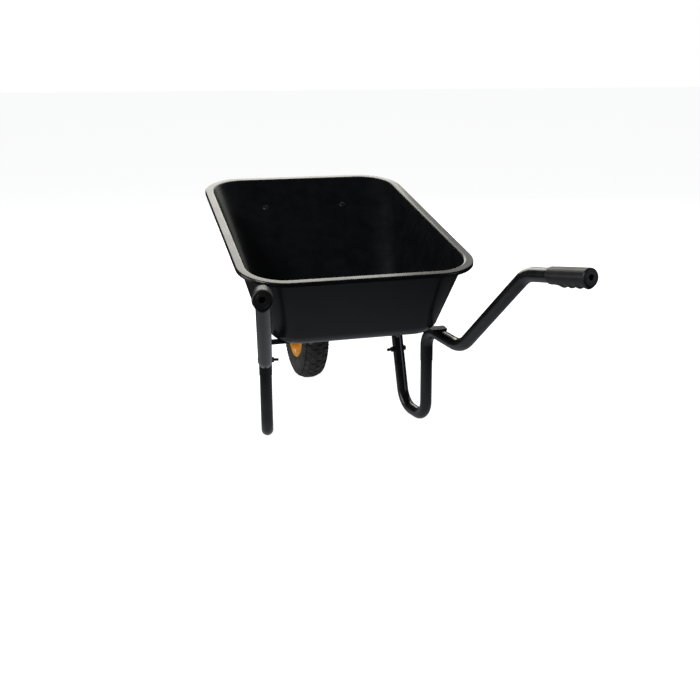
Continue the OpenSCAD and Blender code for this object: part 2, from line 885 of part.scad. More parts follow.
// Upper part of a rounded section, from one bead over the crown to the other, as [radius, along the axle]
function section_arc(half_w, half_h, a0, a1, squareness) = [
    for (k = [0 : 24])
        let (a = a0 + (a1 - a0) * k / 24, c = cos(a), s = sin(a))
            [
                tyre_mid_r + half_h * sign(s) * pow(abs(s), squareness),
                half_w * sign(c) * pow(abs(c), squareness)
            ]
];

module tyre() {
    half_h = (tyre_r - bead_r) / 2;
    bead_out = rim_half_w - rim_t / 2 - 0.7;
    color(tyre_colour) at_axle()
        rotate_extrude()
            polygon(concat(
                [[bead_r, bead_out - 9], [bead_r, bead_out], [bead_r + 8, bead_out]],
                section_arc(tyre_w / 2, half_h, -38, 218, 0.85),
                [[bead_r + 8, -bead_out], [bead_r, -bead_out], [bead_r, 9 - bead_out], [bead_r + 9, 9 - bead_out]],
                section_arc(tyre_w / 2 - 6, half_h - 7, 218, -38, 0.95),
                [[bead_r + 9, bead_out - 9]]
            ));
}

module inner_tube() {
    color("#222222") at_axle()
        rotate_extrude() translate([tyre_mid_r, 0]) difference() {
            circle(r = tube_section_r);
            circle(r = tube_section_r - 2);
        }
}

// Local Z points in from the tyre towards the hub, on the left rim half
module at_valve() {
    translate([bead_r + 12, 0, -valve_x]) rotate([0, -90, 0]) children();
}

valve_base_r = tyre_mid_r - sqrt(pow(tube_section_r, 2) - pow(valve_x - valve_r, 2)) - 0.2;
valve_tip_r = bead_r - 28;

module valve_stem() {
    color("#1b1b1b") at_axle()
        translate([valve_tip_r, 0, -valve_x])
            rotate([0, 90, 0]) cylinder(r = valve_r, h = valve_base_r - valve_tip_r);
}

module valve_cap() {
    color("#101010") at_axle()
        translate([valve_tip_r, 0, -valve_x])
            rotate([0, -90, 0]) cylinder(r1 = valve_r + 0.8, r2 = valve_r - 0.4, h = 9);
}

tray();
handle_tube_left();
handle_tube_right();
grip_left();
grip_right();
leg_tube_left();
leg_tube_right();
leg_bolts();
leg_nuts();
nose_tube();
rear_cross_strap();
front_cross_strap();
floor_bolts();
floor_washers();
floor_nuts();
front_stay_left();
front_stay_right();
stay_wall_bolts();
stay_wall_nuts();
stay_foot_bolts();
stay_foot_nuts();
axle_bracket_left();
axle_bracket_right();
axle();
axle_washers();
axle_nut();
spacer_left();
spacer_right();
hub_spacer();
bearing_inner_races();
bearing_outer_races();
bearing_balls();
hub();
rim_half_left();
rim_half_right();
rim_bolts();
rim_nuts();
tyre();
inner_tube();
valve_stem();
valve_cap();
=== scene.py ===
import math

import bmesh
import bpy
from mathutils import Matrix, Vector


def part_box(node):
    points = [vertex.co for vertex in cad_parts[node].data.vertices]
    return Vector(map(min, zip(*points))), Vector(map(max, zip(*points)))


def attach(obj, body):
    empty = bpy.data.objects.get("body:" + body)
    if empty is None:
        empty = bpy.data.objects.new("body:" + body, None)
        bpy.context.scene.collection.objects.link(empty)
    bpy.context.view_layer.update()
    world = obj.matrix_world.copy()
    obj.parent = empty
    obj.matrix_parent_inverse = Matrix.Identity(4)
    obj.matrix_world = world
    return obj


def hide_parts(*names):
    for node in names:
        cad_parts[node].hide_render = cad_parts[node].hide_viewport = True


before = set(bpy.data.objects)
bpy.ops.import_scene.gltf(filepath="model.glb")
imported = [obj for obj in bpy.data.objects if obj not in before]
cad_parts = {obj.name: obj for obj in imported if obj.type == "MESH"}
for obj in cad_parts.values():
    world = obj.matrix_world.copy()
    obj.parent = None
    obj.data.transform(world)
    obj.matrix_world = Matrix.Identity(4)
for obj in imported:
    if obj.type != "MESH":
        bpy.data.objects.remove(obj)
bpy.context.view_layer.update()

# ------------------------------
# Handle tubes: 32 mm welded steel tube, one piece a side, bent on a mandrel from the grip down to
# the knee, along the rail under the tray and into the rear upright, then powder coated black.
# ------------------------------
SPLAY = math.radians(10.4)
HALF_TRACK = 0.210
TUBE_R = 0.016
LEG_R = 0.015
WALL = 0.0016
NOSE_Y = 0.705
MID_Y = NOSE_Y + LEG_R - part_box("nose_tube")[1].y
JOINT_Z = 0.172
RAIL_Z = 0.2605
KNEE_BACK, KNEE_Z = 0.165, 0.2495
HANDLE_BACK, HANDLE_Z = 0.628, 0.513
UPPER_BACK, UPPER_Z = 0.418, 0.479
LEG_BEND_R, BEND_R = 0.046, 0.085


def side_point(along, height, out=0.0, hand=1):
    """A point in a side frame's own plane: forward of the uprights, up, and out of the plane."""
    return Vector((
        hand * (HALF_TRACK - along * math.sin(SPLAY) + out * math.cos(SPLAY)),
        along * math.cos(SPLAY) + out * math.sin(SPLAY) - MID_Y,
        height,
    ))


def only(piece):
    bpy.ops.object.select_all(action="DESELECT")
    piece.select_set(True)
    bpy.context.view_layer.objects.active = piece


def settle(piece):
    """Leaves the object at the origin, unturned and unscaled, with its place in its mesh."""
    only(piece)
    bpy.ops.object.transform_apply(location=True, rotation=True, scale=True)


def name_piece(piece, name):
    piece.name = name
    piece.data.name = name
    return piece


def started():
    """The primitive that was just added, with nothing else selected."""
    piece = bpy.context.view_layer.objects.active
    only(piece)
    return piece


def open_mesh():
    """Edit mode, with all of the active piece selected."""
    bpy.ops.object.mode_set(mode="EDIT")
    bpy.ops.mesh.select_all(action="SELECT")


def close_mesh():
    bpy.ops.object.mode_set(mode="OBJECT")


def add_modifier(piece, kind, **settings):
    only(piece)
    modifier = piece.modifiers.new(kind.title(), kind)
    for key, value in settings.items():
        setattr(modifier, key, value)
    bpy.ops.object.modifier_apply(modifier=modifier.name)


def clean(piece, outward=True, angle=35):
    """Merges doubles, turns the faces outwards and smooths all but the sharp edges."""
    only(piece)
    open_mesh()
    bpy.ops.mesh.remove_doubles(threshold=0.000005)
    if outward:
        bpy.ops.mesh.normals_make_consistent(inside=False)
    close_mesh()
    bpy.ops.object.shade_smooth_by_angle(angle=math.radians(angle))
    return piece


def soften(piece, width, segments=2, limit=40):
    add_modifier(
        piece, "BEVEL", width=width, segments=segments, limit_method="ANGLE",
        angle_limit=math.radians(limit), harden_normals=False,
    )


def cut(piece, tool):
    """Takes the tool's shape out of the piece, and removes the tool."""
    add_modifier(piece, "BOOLEAN", operation="DIFFERENCE", solver="EXACT", object=tool)
    bpy.data.objects.remove(tool)


def sweep(points, radii):
    """Carries the selected outline along straight runs and round the bends between them."""
    here = Vector(points[0])
    for i in range(1, len(points)):
        corner = Vector(points[i])
        run = (corner - Vector(points[i - 1])).normalized()
        if i == len(points) - 1:
            bpy.ops.mesh.extrude_region_move(TRANSFORM_OT_translate={"value": corner - here})
            return
        after = (Vector(points[i + 1]) - corner).normalized()
        turn = run.angle(after)
        tangent = radii[i - 1] * math.tan(turn / 2)
        axis = run.cross(after).normalized()
        bend_start = corner - tangent * run
        bpy.ops.mesh.extrude_region_move(TRANSFORM_OT_translate={"value": bend_start - here})
        bpy.ops.mesh.spin(
            steps=max(4, round(turn / 0.07)), angle=turn,
            center=bend_start + radii[i - 1] * axis.cross(run), axis=-axis,
        )
        here = corner + tangent * after


def bent_tube(name, points, radii, radius, wall=WALL, sides=40):
    run = (Vector(points[1]) - Vector(points[0])).normalized()
    bpy.ops.mesh.primitive_circle_add(
        vertices=sides, radius=radius, location=points[0],
        rotation=run.to_track_quat("Z", "Y").to_euler(),
    )
    tube = name_piece(started(), name)
    settle(tube)
    open_mesh()
    sweep(points, radii)
    close_mesh()
    clean(tube)
    add_modifier(tube, "SOLIDIFY", thickness=wall, offset=-1, use_rim=True)
    soften(tube, 0.0004, 2, 60)
    return clean(tube, outward=False)


def set_inputs(node, values):
    for label, value in values.items():
        node.inputs[label].default_value = value


def new_group(name, inputs, outputs):
    """An effect that several finishes share, with its inputs and outputs named."""
    group = bpy.data.node_groups.new(name, "ShaderNodeTree")
    for label, value in inputs:
        made = group.interface.new_socket(label, in_out="INPUT", socket_type="NodeSocketFloat")
        made.default_value = value
    for label in outputs:
        group.interface.new_socket(label, in_out="OUTPUT", socket_type="NodeSocketFloat")
    return group, group.nodes.new("NodeGroupInput"), group.nodes.new("NodeGroupOutput")


def noise(tree, scale, detail=3.0, roughness=0.5):
    """A noise on the object's own coordinates, its scale a number or another node's output."""
    place = tree.nodes.new("ShaderNodeTexCoord")
    texture = tree.nodes.new("ShaderNodeTexNoise")
    tree.links.new(place.outputs["Object"], texture.inputs["Vector"])
    if isinstance(scale, (int, float)):
        texture.inputs["Scale"].default_value = scale
    else:
        tree.links.new(scale, texture.inputs["Scale"])
    set_inputs(texture, {"Detail": detail, "Roughness": roughness})
    return texture


def remap(tree, source, low, high, to_low=0.0, to_high=1.0):
    node = tree.nodes.new("ShaderNodeMapRange")
    tree.links.new(source, node.inputs["Value"])
    set_inputs(node, {"From Min": low, "From Max": high, "To Min": to_low, "To Max": to_high})
    return node.outputs["Result"]


def maths(tree, operation, a, b):
    node = tree.nodes.new("ShaderNodeMath")
    node.operation = operation
    for slot_number, value in enumerate((a, b)):
        if isinstance(value, (int, float)):
            node.inputs[slot_number].default_value = value
        else:
            tree.links.new(value, node.inputs[slot_number])
    return node.outputs[0]


# Fine grain of a sprayed or moulded surface: a height for the bump and a slow mottle
grain, grain_in, grain_out = new_group("surface grain", [("Size", 900.0)], ["Height", "Mottle"])
fine = noise(grain, grain_in.outputs["Size"], 2.0, 0.6)
broad = noise(grain, 14.0, 4.0, 0.55)
grain.links.new(fine.outputs["Fac"], grain_out.inputs["Height"])
grain.links.new(remap(grain, broad.outputs["Fac"], 0.3, 0.7), grain_out.inputs["Mottle"])

# Handling marks: small rubbed spots, more of them where the slow noise is high
marks, marks_in, marks_out = new_group("handling marks", [("Amount", 0.3)], ["Mask"])
spots = noise(marks, 160.0, 6.0, 0.7)
where = noise(marks, 9.0, 2.0, 0.5)
worn = maths(marks, "MULTIPLY", remap(marks, spots.outputs["Fac"], 0.62, 0.72),
             remap(marks, where.outputs["Fac"], 0.5, 0.7))
marks.links.new(maths(marks, "MULTIPLY", worn, marks_in.outputs["Amount"]), marks_out.inputs["Mask"])

# Dust and painted light: a thin pale film, heavier low down and in patches. On the yellow rim it is painted
# light, the lower part painted paler yellow as if lit more brightly.
dust_and_light, dust_and_light_in, dust_and_light_out = new_group("dust_and_light", [("Amount", 0.2), ("Height", 0.2)], ["Mask"])
dust_and_light_place = dust_and_light.nodes.new("ShaderNodeTexCoord")
dust_and_light_split = dust_and_light.nodes.new("ShaderNodeSeparateXYZ")
dust_and_light.links.new(dust_and_light_place.outputs["Object"], dust_and_light_split.inputs["Vector"])
low_down = maths(dust_and_light, "SUBTRACT", 1.0,
                 maths(dust_and_light, "DIVIDE", dust_and_light_split.outputs["Z"], dust_and_light_in.outputs["Height"]))
low_down.node.use_clamp = True
patches = noise(dust_and_light, 28.0, 5.0, 0.65)
film = maths(dust_and_light, "MULTIPLY", remap(dust_and_light, patches.outputs["Fac"], 0.35, 0.75), dust_and_light_in.outputs["Amount"])
dust_and_light.links.new(maths(dust_and_light, "MULTIPLY", film, maths(dust_and_light, "ADD", low_down, 0.25)), dust_and_light_out.inputs["Mask"])


def use_group(tree, group, **values):
    node = tree.nodes.new("ShaderNodeGroup")
    node.node_tree = group
    set_inputs(node, values)
    return node


def mixed(tree, mask, under, over):
    """Colour under where the mask is 0 and over where it is 1; either may be another mix."""
    node = tree.nodes.new("ShaderNodeMix")
    node.data_type = "RGBA"
    tree.links.new(mask, node.inputs["Factor"])
    for label, value in (("A", under), ("B", over)):
        socket = [s for s in node.inputs if s.name == label and s.type == "RGBA"][0]
        if isinstance(value, tuple):
            socket.default_value = (*value, 1.0)
        else:
            tree.links.new(value, socket)
    return [s for s in node.outputs if s.type == "RGBA"][0]


def finish(name, deep, pale, rough, rough_spread, metal=0.0, size=900.0, bump=0.00002,
           worn_colour=(0.12, 0.12, 0.12), wear=0.2, dust_and_light_amount=0.1, dust_and_light_height=0.2, coat=0.0,
           dust_and_light_colour=(0.30, 0.29, 0.27), specular=0.5):
    """A finish of two close shades, with grain, handling marks and a pale layer low down: dust, and on the
    rim painted light.
    """
    material = bpy.data.materials.new(name)
    material.use_nodes = True
    tree = material.node_tree
    shader = tree.nodes["Principled BSDF"]
    texture = use_group(tree, grain, Size=size)
    rubbed = use_group(tree, marks, Amount=wear)
    dust_and_light_layer = use_group(tree, dust_and_light, Amount=dust_and_light_amount, Height=dust_and_light_height)
    colour = mixed(tree, texture.outputs["Mottle"], deep, pale)
    colour = mixed(tree, rubbed.outputs["Mask"], colour, worn_colour)
    # Mixes in the pale layer low down: dust, and on the rim painted light, a paler lower part.
    colour = mixed(tree, dust_and_light_layer.outputs["Mask"], colour, dust_and_light_colour)
    tree.links.new(colour, shader.inputs["Base Color"])
    uneven = remap(tree, texture.outputs["Mottle"], 0.0, 1.0, rough - rough_spread, rough + rough_spread)
    duller = maths(tree, "ADD", uneven, maths(tree, "MULTIPLY", dust_and_light_layer.outputs["Mask"], 0.35))
    tree.links.new(duller, shader.inputs["Roughness"])
    relief = tree.nodes.new("ShaderNodeBump")
    relief.inputs["Distance"].default_value = bump
    tree.links.new(texture.outputs["Height"], relief.inputs["Height"])
    tree.links.new(relief.outputs["Normal"], shader.inputs["Normal"])
    set_inputs(shader, {"Metallic": metal, "Coat Weight": coat, "Coat Roughness": 0.12,
                        "Specular IOR Level": specular})
    return material


def dress(piece, material):
    """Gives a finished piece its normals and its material."""
    add_modifier(piece, "WEIGHTED_NORMAL", keep_sharp=True, weight=60)
    piece.data.materials.clear()
    piece.data.materials.append(material)


frame_paint = finish(
    "black powder coat", (0.0045, 0.0047, 0.0052), (0.0085, 0.0088, 0.0095), 0.25, 0.05,
    bump=0.00003, wear=0.10, dust_and_light_amount=0.08, dust_and_light_height=0.16, coat=0.25,
)

handle_route = [(0, JOINT_Z), (0, RAIL_Z), (-KNEE_BACK, KNEE_Z), (-UPPER_BACK, UPPER_Z),
                (-HANDLE_BACK + 0.004, HANDLE_Z - 0.0006)]
for side, hand in (("left", -1), ("right", 1)):
    handle = bent_tube(
        f"handle_{side}", [side_point(s, z, hand=hand) for s, z in handle_route],
        [LEG_BEND_R, BEND_R, BEND_R], TUBE_R,
    )
    dress(handle, frame_paint)
    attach(handle, "frame")
    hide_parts(f"handle_tube_{side}")

# ------------------------------
# Legs: 30 mm tube bent into a loop. The upright's reduced end is pushed into the handle tube, the
# foot lies on the ground, and the front arm leans forward to take the nose tube's reduced end.
# ------------------------------
FOOT_LEN = 0.1155
ARM_LEAN = math.radians(13.5)
ARM_JOINT_Z = 0.206
LEG_BOLT_Z = 0.164
SPARE_HOLE_Z, SPARE_HOLE_R = 0.129, 0.0035
FOOT_BENDS = [0.044, 0.056]


def arm_along(height):
    return FOOT_LEN + (height - LEG_R) * math.tan(ARM_LEAN)


def frame_at(origin, z_axis, x_hint=(1, 0, 0)):
    """The place of a fastener: its Z along z_axis and its X as near the hint as it can be."""
    z = Vector(z_axis).normalized()
    y = z.cross(Vector(x_hint)).normalized()
    x = y.cross(z)
    return Matrix.Translation(origin) @ Matrix((x, y, z)).transposed().to_4x4()


def across_arm(height, hand):
    outward = Vector((hand * math.cos(SPLAY), math.sin(SPLAY), 0))
    return frame_at(side_point(arm_along(height), height, hand=hand), outward, (0, 0, 1))


def drill(piece, place, radius, depth=0.08):
    bpy.ops.mesh.primitive_cylinder_add(vertices=32, radius=radius, depth=depth)
    tool = started()
    tool.matrix_world = place
    settle(tool)
    cut(piece, tool)


leg_route = [(0, JOINT_Z), (0, LEG_R), (FOOT_LEN, LEG_R), (arm_along(ARM_JOINT_Z), ARM_JOINT_Z)]
for side, hand in (("left", -1), ("right", 1)):
    leg = bent_tube(
        f"leg_{side}", [side_point(s, z, hand=hand) for s, z in leg_route], FOOT_BENDS, LEG_R,
    )
    drill(leg, across_arm(SPARE_HOLE_Z, hand), SPARE_HOLE_R)
    clean(leg, outward=False)
    dress(leg, frame_paint)
    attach(leg, "frame")
    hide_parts(f"leg_tube_{side}")

# ------------------------------
# Nose tube: one long tube bent up from the right leg's arm, forward under the tray, down past the
# wheel, across in front of it, and back the same way to the left leg. It guards the tyre.
# ------------------------------
DIP_ALONG = 0.264
NOSE_Z = 0.142
HALF_BENDS = [0.042, 0.110, 0.060]
rail_slope = math.atan((RAIL_Z - KNEE_Z) / KNEE_BACK)
run_height = RAIL_Z + (TUBE_R - LEG_R) / math.cos(rail_slope)
arm_top_along = (FOOT_LEN + (run_height - LEG_R) * math.tan(ARM_LEAN)) / (
    1 - math.tan(rail_slope) * math.tan(ARM_LEAN))
arm_top = (arm_top_along, run_height + arm_top_along * math.tan(rail_slope))
dip = (DIP_ALONG, run_height + DIP_ALONG * math.tan(rail_slope))
nose_along = NOSE_Y / math.cos(SPLAY)
half_route = [(arm_along(ARM_JOINT_Z), ARM_JOINT_Z), arm_top, dip, (nose_along, NOSE_Z)]
nose_route = [side_point(s, z) for s, z in half_route]
nose_route += [side_point(s, z, hand=-1) for s, z in reversed(half_route)]
nose = bent_tube("nose_loop", nose_route, [*HALF_BENDS, *reversed(HALF_BENDS)], LEG_R)
dress(nose, frame_paint)
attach(nose, "frame")
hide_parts("nose_tube")

# ------------------------------
# Tray: one deep-drawn sheet of steel, with sloping walls, a flat flange round the opening and a
# lip turned down at its edge. Black enamel, one finish inside and out.
# ------------------------------
SHEET = 0.002
STRAP_T = 0.004
FLANGE = 0.022
LIP = 0.009
RIM_REAR_Y, RIM_LEN, RIM_REAR_H = -0.185, 0.765, 0.175
RIM_SLOPE = math.radians(7.4)
RIM_HALF_REAR, RIM_HALF_FRONT = 0.290, 0.282
RIM_CORNER = 0.090
FLOOR_REAR, FLOOR_FRONT, FLOOR_HALF, FLOOR_CORNER = -0.118, 0.252, 0.199, 0.064
FLOOR_FILLET = 0.025
floor_tilt = math.atan(math.tan(rail_slope) / math.cos(SPLAY))
tray_z = RAIL_Z + (TUBE_R + STRAP_T) / math.cos(floor_tilt)
tray_place = Matrix.Translation((0, -MID_Y, tray_z)) @ Matrix.Rotation(floor_tilt, 4, "X")


def pick_points(piece, wanted):
    """Selects the points whose place passes the test, and nothing else."""
    bpy.ops.mesh.select_all(action="DESELECT")
    mesh = bmesh.from_edit_mesh(piece.data)
    for vert in mesh.verts:
        vert.select_set(wanted(vert.co))
    mesh.select_flush(True)
    bmesh.update_edit_mesh(piece.data)


def outline(rear, length, half_rear, half_front, corner, height, slope=0.0):
    """A rounded rectangle that starts at its rear edge and rises forward at the slope."""
    bpy.ops.mesh.primitive_plane_add(size=1)
    ring = started()
    ring.scale = (2 * half_rear, length, 1)
    settle(ring)
    bpy.ops.object.mode_set(mode="EDIT")
    pick_points(ring, lambda co: co.y > 0)
    bpy.ops.transform.resize(value=(half_front / half_rear, 1, 1))
    bpy.ops.mesh.select_all(action="SELECT")
    bpy.ops.mesh.bevel(offset=corner, segments=14, profile=0.5, affect="VERTICES")
    close_mesh()
    ring.location = (0, rear, height)
    ring.rotation_euler = (slope, 0, 0)
    ring.data.transform(Matrix.Translation((0, length / 2, 0)))
    settle(ring)
    return ring


def ring_points(ring):
    return {tuple(round(c, 5) for c in vert.co) for vert in ring.data.vertices}


def select_rings(piece, places):
    """Selects the edges that lie along the given rings."""
    bpy.ops.mesh.select_all(action="DESELECT")
    bpy.ops.mesh.select_mode(type="EDGE")
    mesh = bmesh.from_edit_mesh(piece.data)
    for edge in mesh.edges:
        ends = [tuple(round(c, 5) for c in vert.co) for vert in edge.verts]
        edge.select_set(any(ends[0] in place and ends[1] in place for place in places))
    bmesh.update_edit_mesh(piece.data)


pan_floor = outline(FLOOR_REAR, FLOOR_FRONT - FLOOR_REAR, FLOOR_HALF, FLOOR_HALF, FLOOR_CORNER, SHEET)
floor_ring = ring_points(pan_floor)
rim_face = outline(RIM_REAR_Y, RIM_LEN, RIM_HALF_REAR, RIM_HALF_FRONT, RIM_CORNER + FLANGE,
                   RIM_REAR_H, RIM_SLOPE)
rim_ring = ring_points(rim_face)
only(rim_face)
bpy.ops.object.mode_set(mode="EDIT")
bpy.ops.mesh.select_mode(type="FACE")
bpy.ops.mesh.select_all(action="SELECT")
bpy.ops.mesh.inset(thickness=FLANGE)
bpy.ops.mesh.delete(type="ONLY_FACE")
close_mesh()
mouth_ring = ring_points(rim_face) - rim_ring
bpy.ops.object.mode_set(mode="EDIT")
select_rings(rim_face, [rim_ring])
bpy.ops.mesh.extrude_edges_move(TRANSFORM_OT_translate={"value": (0, 0, -LIP)})
close_mesh()
only(pan_floor)
rim_face.select_set(True)
bpy.ops.object.join()
tray = name_piece(started(), "tray_pan")
bpy.ops.object.mode_set(mode="EDIT")
select_rings(tray, [floor_ring, mouth_ring])
bpy.ops.mesh.bridge_edge_loops()
for ring, width, steps in ((rim_ring, 0.0035, 4), (mouth_ring, 0.005, 5), (floor_ring, FLOOR_FILLET, 8)):
    select_rings(tray, [ring])
    bpy.ops.mesh.bevel(offset=width, segments=steps, profile=0.5, affect="EDGES")
close_mesh()
clean(tray)
floor_face = max(tray.data.polygons, key=lambda face: face.area)
if floor_face.normal.z < 0:
    only(tray)
    open_mesh()
    bpy.ops.mesh.flip_normals()
    close_mesh()
add_modifier(tray, "SOLIDIFY", thickness=SHEET, offset=-1, use_rim=True, use_even_offset=True)
tray.matrix_world = tray_place
settle(tray)
clean(tray, outward=False, angle=30)
tray_paint = finish(
    "black tray enamel", (0.0035, 0.0038, 0.0046), (0.0065, 0.0070, 0.0085), 0.27, 0.04,
    size=350.0, bump=0.00001, wear=0.12, dust_and_light_amount=0.05, dust_and_light_height=0.35, coat=0.15,
)
dress(tray, tray_paint)
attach(tray, "frame")
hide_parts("tray")

# ------------------------------
# Cross straps: flat steel bars across the rails, welded to them, that the tray is bolted to. The
# rear one runs on past both rails. Corners clipped round in the press.
# ------------------------------
REAR_STRAP = (-0.067, 0.472, 0.028)
FRONT_STRAP_Y, FRONT_STRAP_W = 0.215, 0.025


def flat_bar(name, middle, length, width):
    bpy.ops.mesh.primitive_plane_add(size=1)
    bar = name_piece(started(), name)
    bar.scale = (length, width, 1)
    settle(bar)
    open_mesh()
    bpy.ops.mesh.bevel(offset=0.004, segments=5, profile=0.5, affect="VERTICES")
    bpy.ops.mesh.extrude_region_move(TRANSFORM_OT_translate={"value": (0, 0, -STRAP_T)})
    close_mesh()
    clean(bar)
    soften(bar, 0.0006, 2, 50)
    bar.matrix_world = tray_place @ Matrix.Translation((0, middle, 0))
    settle(bar)
    return clean(bar)


front_strap_len = 2 * (HALF_TRACK - FRONT_STRAP_Y * math.tan(SPLAY)) + 2 * LEG_R
for name, node, bar_size in (
    ("rear_strap", "rear_cross_strap", REAR_STRAP),
    ("front_strap", "front_cross_strap", (FRONT_STRAP_Y, front_strap_len, FRONT_STRAP_W)),
):
    strap = flat_bar(name, *bar_size)
    dress(strap, frame_paint)
    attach(strap, "frame")
    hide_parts(node)

# ------------------------------
# Weld beads: short fillets of overlapping ripples, laid along both edges of each strap where it
# crosses a rail, and painted over with the frame.
# ------------------------------
BEAD_R = 0.0022


def gathered(pieces):
    """Joins the pieces into the first one."""
    only(pieces[0])
    for piece in pieces:
        piece.select_set(True)
    bpy.ops.object.join()
    return started()


def weld_bead(name, lines):
    """Ripples of weld along each line, given as start, end and number of ripples."""
    ripples = []
    for start, end, count in lines:
        for k in range(count):
            place = Vector(start).lerp(Vector(end), (k + 0.5) / count)
            bpy.ops.mesh.primitive_uv_sphere_add(
                segments=10, ring_count=6, radius=BEAD_R, location=place)
            ripple = started()
            ripple.scale = (1.15, 1.0, 0.85)
            settle(ripple)
            ripples.append(ripple)
    bead = name_piece(gathered(ripples), name)
    bpy.ops.object.shade_smooth()
    dress(bead, frame_paint)
    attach(bead, "frame")
    return bead


strap_welds = []
for middle, width, tube_radius in (
    (REAR_STRAP[0], REAR_STRAP[2], TUBE_R), (FRONT_STRAP_Y, FRONT_STRAP_W, LEG_R),
):
    for hand in (-1, 1):
        for edge in (-1, 1):
            y = middle + edge * (width / 2 + 0.0004)
            x = hand * (HALF_TRACK - y * math.tan(SPLAY))
            ends = [tray_place @ Vector((x + reach, y, -STRAP_T - 0.0006)) for reach in (-0.007, 0.007)]
            strap_welds.append((ends[0], ends[1], 6))
weld_bead("strap_welds", strap_welds)

# ------------------------------
# Fasteners: zinc-plated hexagon bolts and nuts with chamfered corners, domed bolts through the
# tray, and plain washers. Stock parts, so each kind is made once and copied to its places.
# ------------------------------
BOLT_R = 0.004
BORE_GAP = 0.0001
BOLT_FLATS = 0.013
HEAD_H = 0.0055
NUT_H = 0.007
WASHER_T = 0.0016
DOME_H = 0.0032
PITCH = 0.00125


def up(height):
    """A move along a fastener's own line."""
    return Matrix.Translation((0, 0, height))


def grow(steps, radius):
    """Extrudes the selected face or ring by each rise and resizes it to each radius in turn."""
    for rise, wanted in steps:
        bpy.ops.mesh.extrude_region_move(TRANSFORM_OT_translate={"value": (0, 0, rise)})
        bpy.ops.transform.resize(value=(wanted / radius, wanted / radius, 1))
        radius = wanted
    return radius


def hexagon(flats, height, base, both_ends):
    """A hexagon with its corners turned off at one end or at both."""
    middle = (0, 0, base + height / 2)
    bpy.ops.mesh.primitive_cylinder_add(
        vertices=6, radius=flats / 2 / math.cos(math.pi / 6), depth=height, location=middle)
    head = started()
    settle(head)
    bpy.ops.mesh.primitive_cylinder_add(
        vertices=48, radius=flats * 0.575, depth=height, location=middle)
    turned_blank = started()
    settle(turned_blank)
    bpy.ops.object.mode_set(mode="EDIT")
    bpy.ops.mesh.select_mode(type="EDGE")
    mesh = bmesh.from_edit_mesh(turned_blank.data)
    for edge in mesh.edges:
        level = edge.verts[0].co.z + edge.verts[1].co.z
        flat = abs(edge.verts[0].co.z - edge.verts[1].co.z) < 1e-6
        edge.select_set(flat and (both_ends or level > 2 * base + height))
    bmesh.update_edit_mesh(turned_blank.data)
    bpy.ops.mesh.bevel(offset=flats * 0.075, segments=2, affect="EDGES")
    close_mesh()
    add_modifier(head, "BOOLEAN", operation="INTERSECT", solver="EXACT", object=turned_blank)
    bpy.data.objects.remove(turned_blank)
    return head


def threaded_rod(radius, low, high, pitch=PITCH, threaded=0.6):
    """A shank from low to high, with thread ridges over its lower share."""
    bpy.ops.mesh.primitive_circle_add(
        vertices=24, radius=radius * 0.8, fill_type="NGON", location=(0, 0, low))
    rod = started()
    settle(rod)
    open_mesh()
    ridges = int((high - low) * threaded / pitch)
    thread = [(pitch / 2, radius), (pitch / 2, radius * 0.86)] * ridges
    grow([*thread, (0.0002, radius)], radius * 0.8)
    rest = high - low - ridges * pitch - 0.0002
    bpy.ops.mesh.extrude_region_move(TRANSFORM_OT_translate={"value": (0, 0, rest)})
    close_mesh()
    return rod


def joined(pieces):
    return clean(gathered(pieces))


def ring_nut(flats, height, bore, base=0.0):
    nut = hexagon(flats, height, base, True)
    drill(nut, up(base + height / 2), bore, height * 3)
    soften(nut, 0.0002, 1, 30)
    return clean(nut)


def plain_washer(radius, bore, thickness, base=0.0):
    bpy.ops.mesh.primitive_cylinder_add(vertices=40, radius=radius, depth=thickness,
                                        location=(0, 0, base + thickness / 2))
    washer = started()
    settle(washer)
    drill(washer, up(base), bore, thickness * 4)
    soften(washer, thickness * 0.2, 2, 40)
    return clean(washer)


def hex_bolt(radius, flats, head, length, pitch=PITCH, threaded=0.5):
    """Head above z = 0, shank below it."""
    cap = hexagon(flats, head, 0.0, False)
    soften(cap, 0.00025, 1, 30)
    return joined([cap, threaded_rod(radius, -length, 0.0005, pitch, threaded)])


def dome_bolt(radius, length):
    full = radius * 2 + 0.001
    bpy.ops.mesh.primitive_circle_add(vertices=32, radius=full, fill_type="NGON")
    head = started()
    open_mesh()
    level, steps = 0.0, []
    for angle in (15, 30, 45, 60, 75):
        rise = DOME_H * math.sin(math.radians(angle)) - level
        steps.append((rise, full * math.cos(math.radians(angle))))
        level += rise
    grow(steps, full)
    close_mesh()
    return joined([head, threaded_rod(radius, -length, 0.0005)])


def copy_to(source, place):
    """A copy with its own mesh, laid in its place."""
    twin = source.copy()
    twin.data = source.data.copy()
    bpy.context.scene.collection.objects.link(twin)
    twin.data.transform(place)
    return twin


def place_copies(source, places, name, material, node, body="frame"):
    """Copies of a stock part at its places, as one piece that stands for the CAD node."""
    copies = [copy_to(source, place) for place in places]
    bpy.data.objects.remove(source)
    piece = name_piece(gathered(copies), name)
    bpy.ops.object.shade_smooth_by_angle(angle=math.radians(35))
    dress(piece, material)
    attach(piece, body)
    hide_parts(node)
    return piece


zinc = finish(
    "zinc plate", (0.42, 0.43, 0.44), (0.58, 0.59, 0.60), 0.34, 0.08, metal=1.0, size=1500.0,
    bump=0.00002, worn_colour=(0.20, 0.17, 0.13), wear=0.5, dust_and_light_amount=0.25, dust_and_light_height=0.4,
)
black_zinc = finish(
    "black zinc", (0.012, 0.012, 0.012), (0.03, 0.03, 0.032), 0.36, 0.06, metal=0.3, size=1500.0,
    worn_colour=(0.35, 0.34, 0.33), wear=0.6, dust_and_light_amount=0.15, dust_and_light_height=0.3,
)

